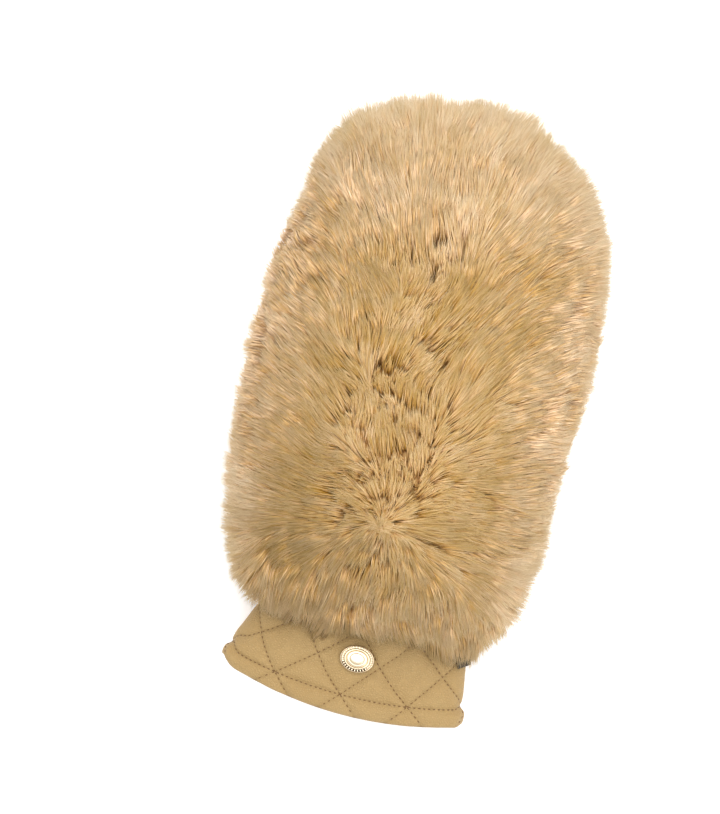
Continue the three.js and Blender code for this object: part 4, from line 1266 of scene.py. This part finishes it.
close_tree(sewer, given, add(sewer, "GeometryNodeRealizeInstances", {0: sewn}), ["facing"])
print("nodes in the sewer:", len(sewer.nodes))

# %% Rows of stitches on the cuff
ROW_STEPS, HEM_STEPS, WRIST_STEPS = 90, 400, 240
STITCH_LOWEST = 0.35
PALM_ROW_FROM_SEAM = 1.8
BACK_HALF = 4.6
LIFT, HEM_LIFT = 0.16, 0.3
FACING_STEP = (0.06, 0.7)
FACES_UP = -0.25
LEAST_RUN = 4
ROW_SPANS = ((HEM_ROUND + 1.2, HEM_DEPTH - 0.6), (HEM_DEPTH + 0.4, WRIST_Y - 1))
paths, facings = [], []


def cuff_row(along, up, top_only=False, lift=LIFT):
    """A row of stitches on the cuff, parted where the palm side is plain."""
    points, _ = cuff_surface(along, up)
    left, right = (cuff_surface(along + step, up)[0] for step in (-FACING_STEP[0], FACING_STEP[0]))
    below, above = (cuff_surface(along, up + step)[0] for step in (-FACING_STEP[1], FACING_STEP[1]))
    facing = np.cross(right - left, above - below)
    facing /= np.linalg.norm(facing, axis=1, keepdims=True)
    facing *= np.sign((facing * (points - cuff_middle) * (1, 0, 1)).sum(1, keepdims=True))
    use = facing[:, 2] > FACES_UP if top_only else np.ones(len(points), bool)
    for run in np.split(np.arange(len(points)), np.flatnonzero(np.diff(use.astype(int))) + 1):
        if use[run[0]] and len(run) > LEAST_RUN:
            path = wrinkled(points[run]) + facing[run] * lift
            path[:, 2] = np.maximum(path[:, 2], STITCH_LOWEST)
            paths.append(path)
            facings.append(facing[run])


cuff_row(np.linspace(0, HALF_DIAMONDS_ROUND, HEM_STEPS), np.full(HEM_STEPS, HEM_DEPTH), lift=HEM_LIFT)
palm_along = np.linspace(BACK_HALF, HALF_DIAMONDS_ROUND - BACK_HALF, WRIST_STEPS)
cuff_row(palm_along, np.full(WRIST_STEPS, WRIST_Y - PALM_ROW_FROM_SEAM))
for start in range(-8, 9, 2):
    for lean in (1, -1):
        for low, high in ROW_SPANS:
            up = np.linspace(low, high, ROW_STEPS)
            along = start + lean * (up - HEM_DEPTH) / HALF_DIAMOND
            on_back = np.abs(along) < BACK_HALF
            if on_back.any():
                cuff_row(along[on_back], up[on_back], top_only=True)
first = np.cumsum([0] + [len(path) for path in paths[:-1]])
edges = [(at + k, at + k + 1) for at, path in zip(first.tolist(), paths) for k in range(len(path) - 1)]
cuff_stitches = object_of("thread_cuff_stitches", np.concatenate(paths), [], edges)
store(cuff_stitches, "facing", np.concatenate(facings))
grow(cuff_stitches, sewer, {"Pitch": STITCH_PITCH * MM, "Size": [s * MM for s in STITCH_SIZE],
                            "Seed": 3, "Material": thread_polyester})
tell(cuff_stitches)

# %% [markdown]
# ## The badge
# A small oval badge is struck from brass and plated in pale gold: a raised, polished rim, a sunk
# border with a milled pattern, and a plain middle that swells a little. Its section is turned round
# an oval, and the border's fine ribs are cut into the turned points. The sunk rings and the valleys
# between the ribs are painted darker, and much darker along one arc: painted shade, carried with the
# points.

# %% The badge's form
BADGE_LENGTH, BADGE_WIDTH = 14.8, 11.6
BADGE_GAP = 0.3
BADGE_SIDES = 192
BADGE_RIBS, RIB_HEIGHT, RIB_EDGE = 32, 0.6, 0.2
BORDER_HEIGHT = 0.72
# Radius and height in millimetres, from the post's end over the rim to the middle.
BADGE_SECTION = [
    (0.01, -4.2), (1.5, -4.2), (1.5, -0.05), (6.95, 0), (7.28, 0.12), (7.4, 0.4), (7.4, 0.95),
    (7.3, 1.25), (7.08, 1.47), (6.9, 1.5), (6.74, 1.36), (6.68, 0.85), (6.6, BORDER_HEIGHT),
    (5.8, BORDER_HEIGHT), (5.72, 0.85), (5.62, 1.5), (5.45, 1.72), (5.2, 1.8), (4.95, 1.78),
    (4.8, 1.5), (4.68, 1.42), (4.55, 1.5), (4.4, 1.8), (4.1, 1.88), (3.4, 1.98), (3.2, 1.96),
    (3.08, 1.8), (2.94, 1.96), (2.74, 2.02), (1.9, 2.1), (1.0, 2.14), (0.01, 2.15),
]
# How much painted shade the rings at some radii get all round, and how much more along one arc, in degrees.
SUNK_SHADE = {6.68: (0, 0.9), 6.6: (0.3, 0.7), 5.8: (0.3, 0.7), 5.72: (0, 0.9), 4.68: (0.2, 0.65),
        3.08: (0.25, 0)}
ARC_MIDDLE, ARC_FULL_TO, ARC_ENDS_AT = 262, 50, 64
turns = 2 * np.pi * np.arange(BADGE_SIDES) / BADGE_SIDES
radii, heights = np.array(BADGE_SECTION).T[..., None]
in_border = heights[:, 0] == BORDER_HEIGHT
in_valley = np.cos(BADGE_RIBS * turns) <= RIB_EDGE
rise = np.repeat(heights, BADGE_SIDES, 1)
rise[in_border] += RIB_HEIGHT * ~in_valley
oblong = BADGE_WIDTH / BADGE_LENGTH
badge_points = np.stack([radii * np.cos(turns), radii * np.sin(turns) * oblong, rise], -1)
badge_top = row_at(CUFF_ROWS, place_of(CUFF_ROWS, BADGE_PLACE[1]))[4] + BADGE_GAP
badge_points += (*BADGE_PLACE, badge_top)
badge = closed_tube("gold_oval_badge", badge_points[:, ::-1])
from_arc = np.cos(turns - math.radians(ARC_MIDDLE))
painted_arc_shade = ease(from_arc, *np.cos(np.radians((ARC_ENDS_AT, ARC_FULL_TO))))
plain, shaded = np.array([SUNK_SHADE.get(radius, (0, 0)) for radius, _ in BADGE_SECTION]).T[..., None]
low = plain + shaded * painted_arc_shade
low[in_border] *= in_valley
store(badge, "sunk", np.append(low[:, ::-1].ravel(), (0, 0)))
smooth(badge, 50)
tell(badge)

# %% Gold plating
# Plated brass: a metal with a smooth, faintly handled surface, so its roughness is low and uneven.
HANDLING_MM = 3.5
gold, tree = material("pale_gold_plating")
coordinates = add(tree, "ShaderNodeTexCoord").outputs["Object"]
handling = add(tree, "ShaderNodeTexNoise", {
    "Vector": coordinates, "Scale": scale_of(HANDLING_MM), "Detail": 4.0}).outputs["Fac"]
rough = add(tree, "ShaderNodeMapRange", {
    "Value": handling, "From Min": 0.3, "From Max": 0.75, "To Min": 0.14, "To Max": 0.27})
bump = add(tree, "ShaderNodeBump", {"Height": handling, "Strength": 0.12, "Distance": 0.0001})
sunk = add(tree, "ShaderNodeAttribute", attribute_name="sunk").outputs["Fac"]
# The badge's sunk rings take a dark brown as painted shade.
tone = add(tree, MIX, {0: sunk, 6: colour("#DFCDB0"), 7: colour("#3A2712")}, data_type="RGBA")
shader = add(tree, "ShaderNodeBsdfPrincipled", {
    "Base Color": tone, "Metallic": 1.0, "Roughness": rough, "Normal": bump})
add(tree, "ShaderNodeOutputMaterial", {"Surface": shader})
badge.data.materials.append(gold)
print("the badge is finished in", gold.name)

# %% [markdown]
# ## The side label
# A short woven tape is folded over and sewn into the wrist seam, so only its loop hangs out. It is
# a closed loop of tape, a little wavy at its free end, with the ribs of a woven edge along it.

# %% The tab's form
LABEL_LENGTH, LABEL_WIDTH, LABEL_THICK = 16.5, 6.8, 1.1
LABEL_PLACE = (43.7, 45.2, 19.6)
LABEL_TILT, LABEL_SPLAY = -0.75, 0.226 - math.pi / 2
LABEL_SLANT = 0.05
LABEL_STEPS, WIDTH_STEPS = 26, 30
WAVE_HEIGHT, WAVE_TURN = 0.35, 2.6
EDGE_THINS, EDGE_FROM = 0.45, 0.9
RIB_MM, RIB_DEPTH = 1.0, 0.07
half_thick = LABEL_THICK / 2
reach = LABEL_LENGTH - half_thick
run = np.linspace(0, reach, LABEL_STEPS)
bend = np.radians(np.linspace(-80, 80, 9))
x, z = np.concatenate([
    np.stack([run, np.full_like(run, -half_thick)], -1),
    np.stack([reach + half_thick * np.cos(bend), half_thick * np.sin(bend)], -1),
    np.stack([run[::-1], np.full_like(run, half_thick)], -1)]).T
share = np.linspace(-1, 1, WIDTH_STEPS)[:, None]
y = share * LABEL_WIDTH / 2
thins = 1 - EDGE_THINS * np.clip((np.abs(share) - EDGE_FROM) / (1 - EDGE_FROM), 0, 1) ** 2
wave = WAVE_HEIGHT * np.sin(share * WAVE_TURN) * (x / LABEL_LENGTH) ** 2
ribs = RIB_DEPTH * np.cos(2 * np.pi * y / RIB_MM) * np.sign(z)
tab = np.stack(np.broadcast_arrays(x * (1 - LABEL_SLANT * share), y, z * thins + wave + ribs), -1)
turn = np.array(Euler((LABEL_TILT, 0, LABEL_SPLAY)).to_matrix())
label = closed_tube("woven_side_label", tab @ turn.T + LABEL_PLACE)
smooth(label, 50)
tell(label)

# %% Woven tape
# Black satin tape: matte threads across it, drawn coarser than the real ones so that they show.
WEFT_MM = 1.9
tape, tree = material("woven_black_tape")
coordinates = add(tree, "ShaderNodeTexCoord").outputs["Object"]
along_tape = add(tree, "ShaderNodeMapping", {"Vector": coordinates, "Rotation": (0, 0, -LABEL_SPLAY)})
weft = add(tree, "ShaderNodeTexWave", {"Vector": along_tape, "Scale": scale_of(WEFT_MM), "Distortion": 0.6},
           bands_direction="Y").outputs["Fac"]
tone = add(tree, "ShaderNodeValToRGB", {"Fac": weft})
tone.color_ramp.elements[0].position = 0.6
tone.color_ramp.elements[0].color = colour("#0B0A09")
tone.color_ramp.elements[1].color = colour("#7A756C")
bump = add(tree, "ShaderNodeBump", {"Height": weft, "Strength": 0.6, "Distance": 0.0002})
shader = add(tree, "ShaderNodeBsdfPrincipled", {
    "Base Color": tone, "Roughness": 0.8, "IOR": 1.5, "Specular IOR Level": 0.08, "Normal": bump})
add(tree, "ShaderNodeOutputMaterial", {"Surface": shader})
label.data.materials.append(tape)
print("the label is finished in", tape.name)

# %% [markdown]
# ## Pieces and the imported model
# Every piece moves with the mitten's one body. Each stands for the plain solid it was made from,
# which stays in the imported model for collision.

# %% Ride and replace
leather_pieces = {"leather_quilted_cuff": "cuff", "leather_palm": "palm", "leather_thumb": "thumb",
                  "leather_edge_band": "edge_band"}
for name, node in leather_pieces.items():
    piece = bpy.data.objects[name]
    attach(piece, "root")
    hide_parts(node)
for piece in (*fur_pieces, undercoat):
    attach(piece, "root")
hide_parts("fur")
for piece, title in zip(backing_rings, ("wrist", "hand", "tip")):
    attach(piece, "root")
    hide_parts(f"fur_backing_{title}")
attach(badge, "root")
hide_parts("badge")
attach(label, "root")
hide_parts("side_label")
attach(cuff_stitches, "root")
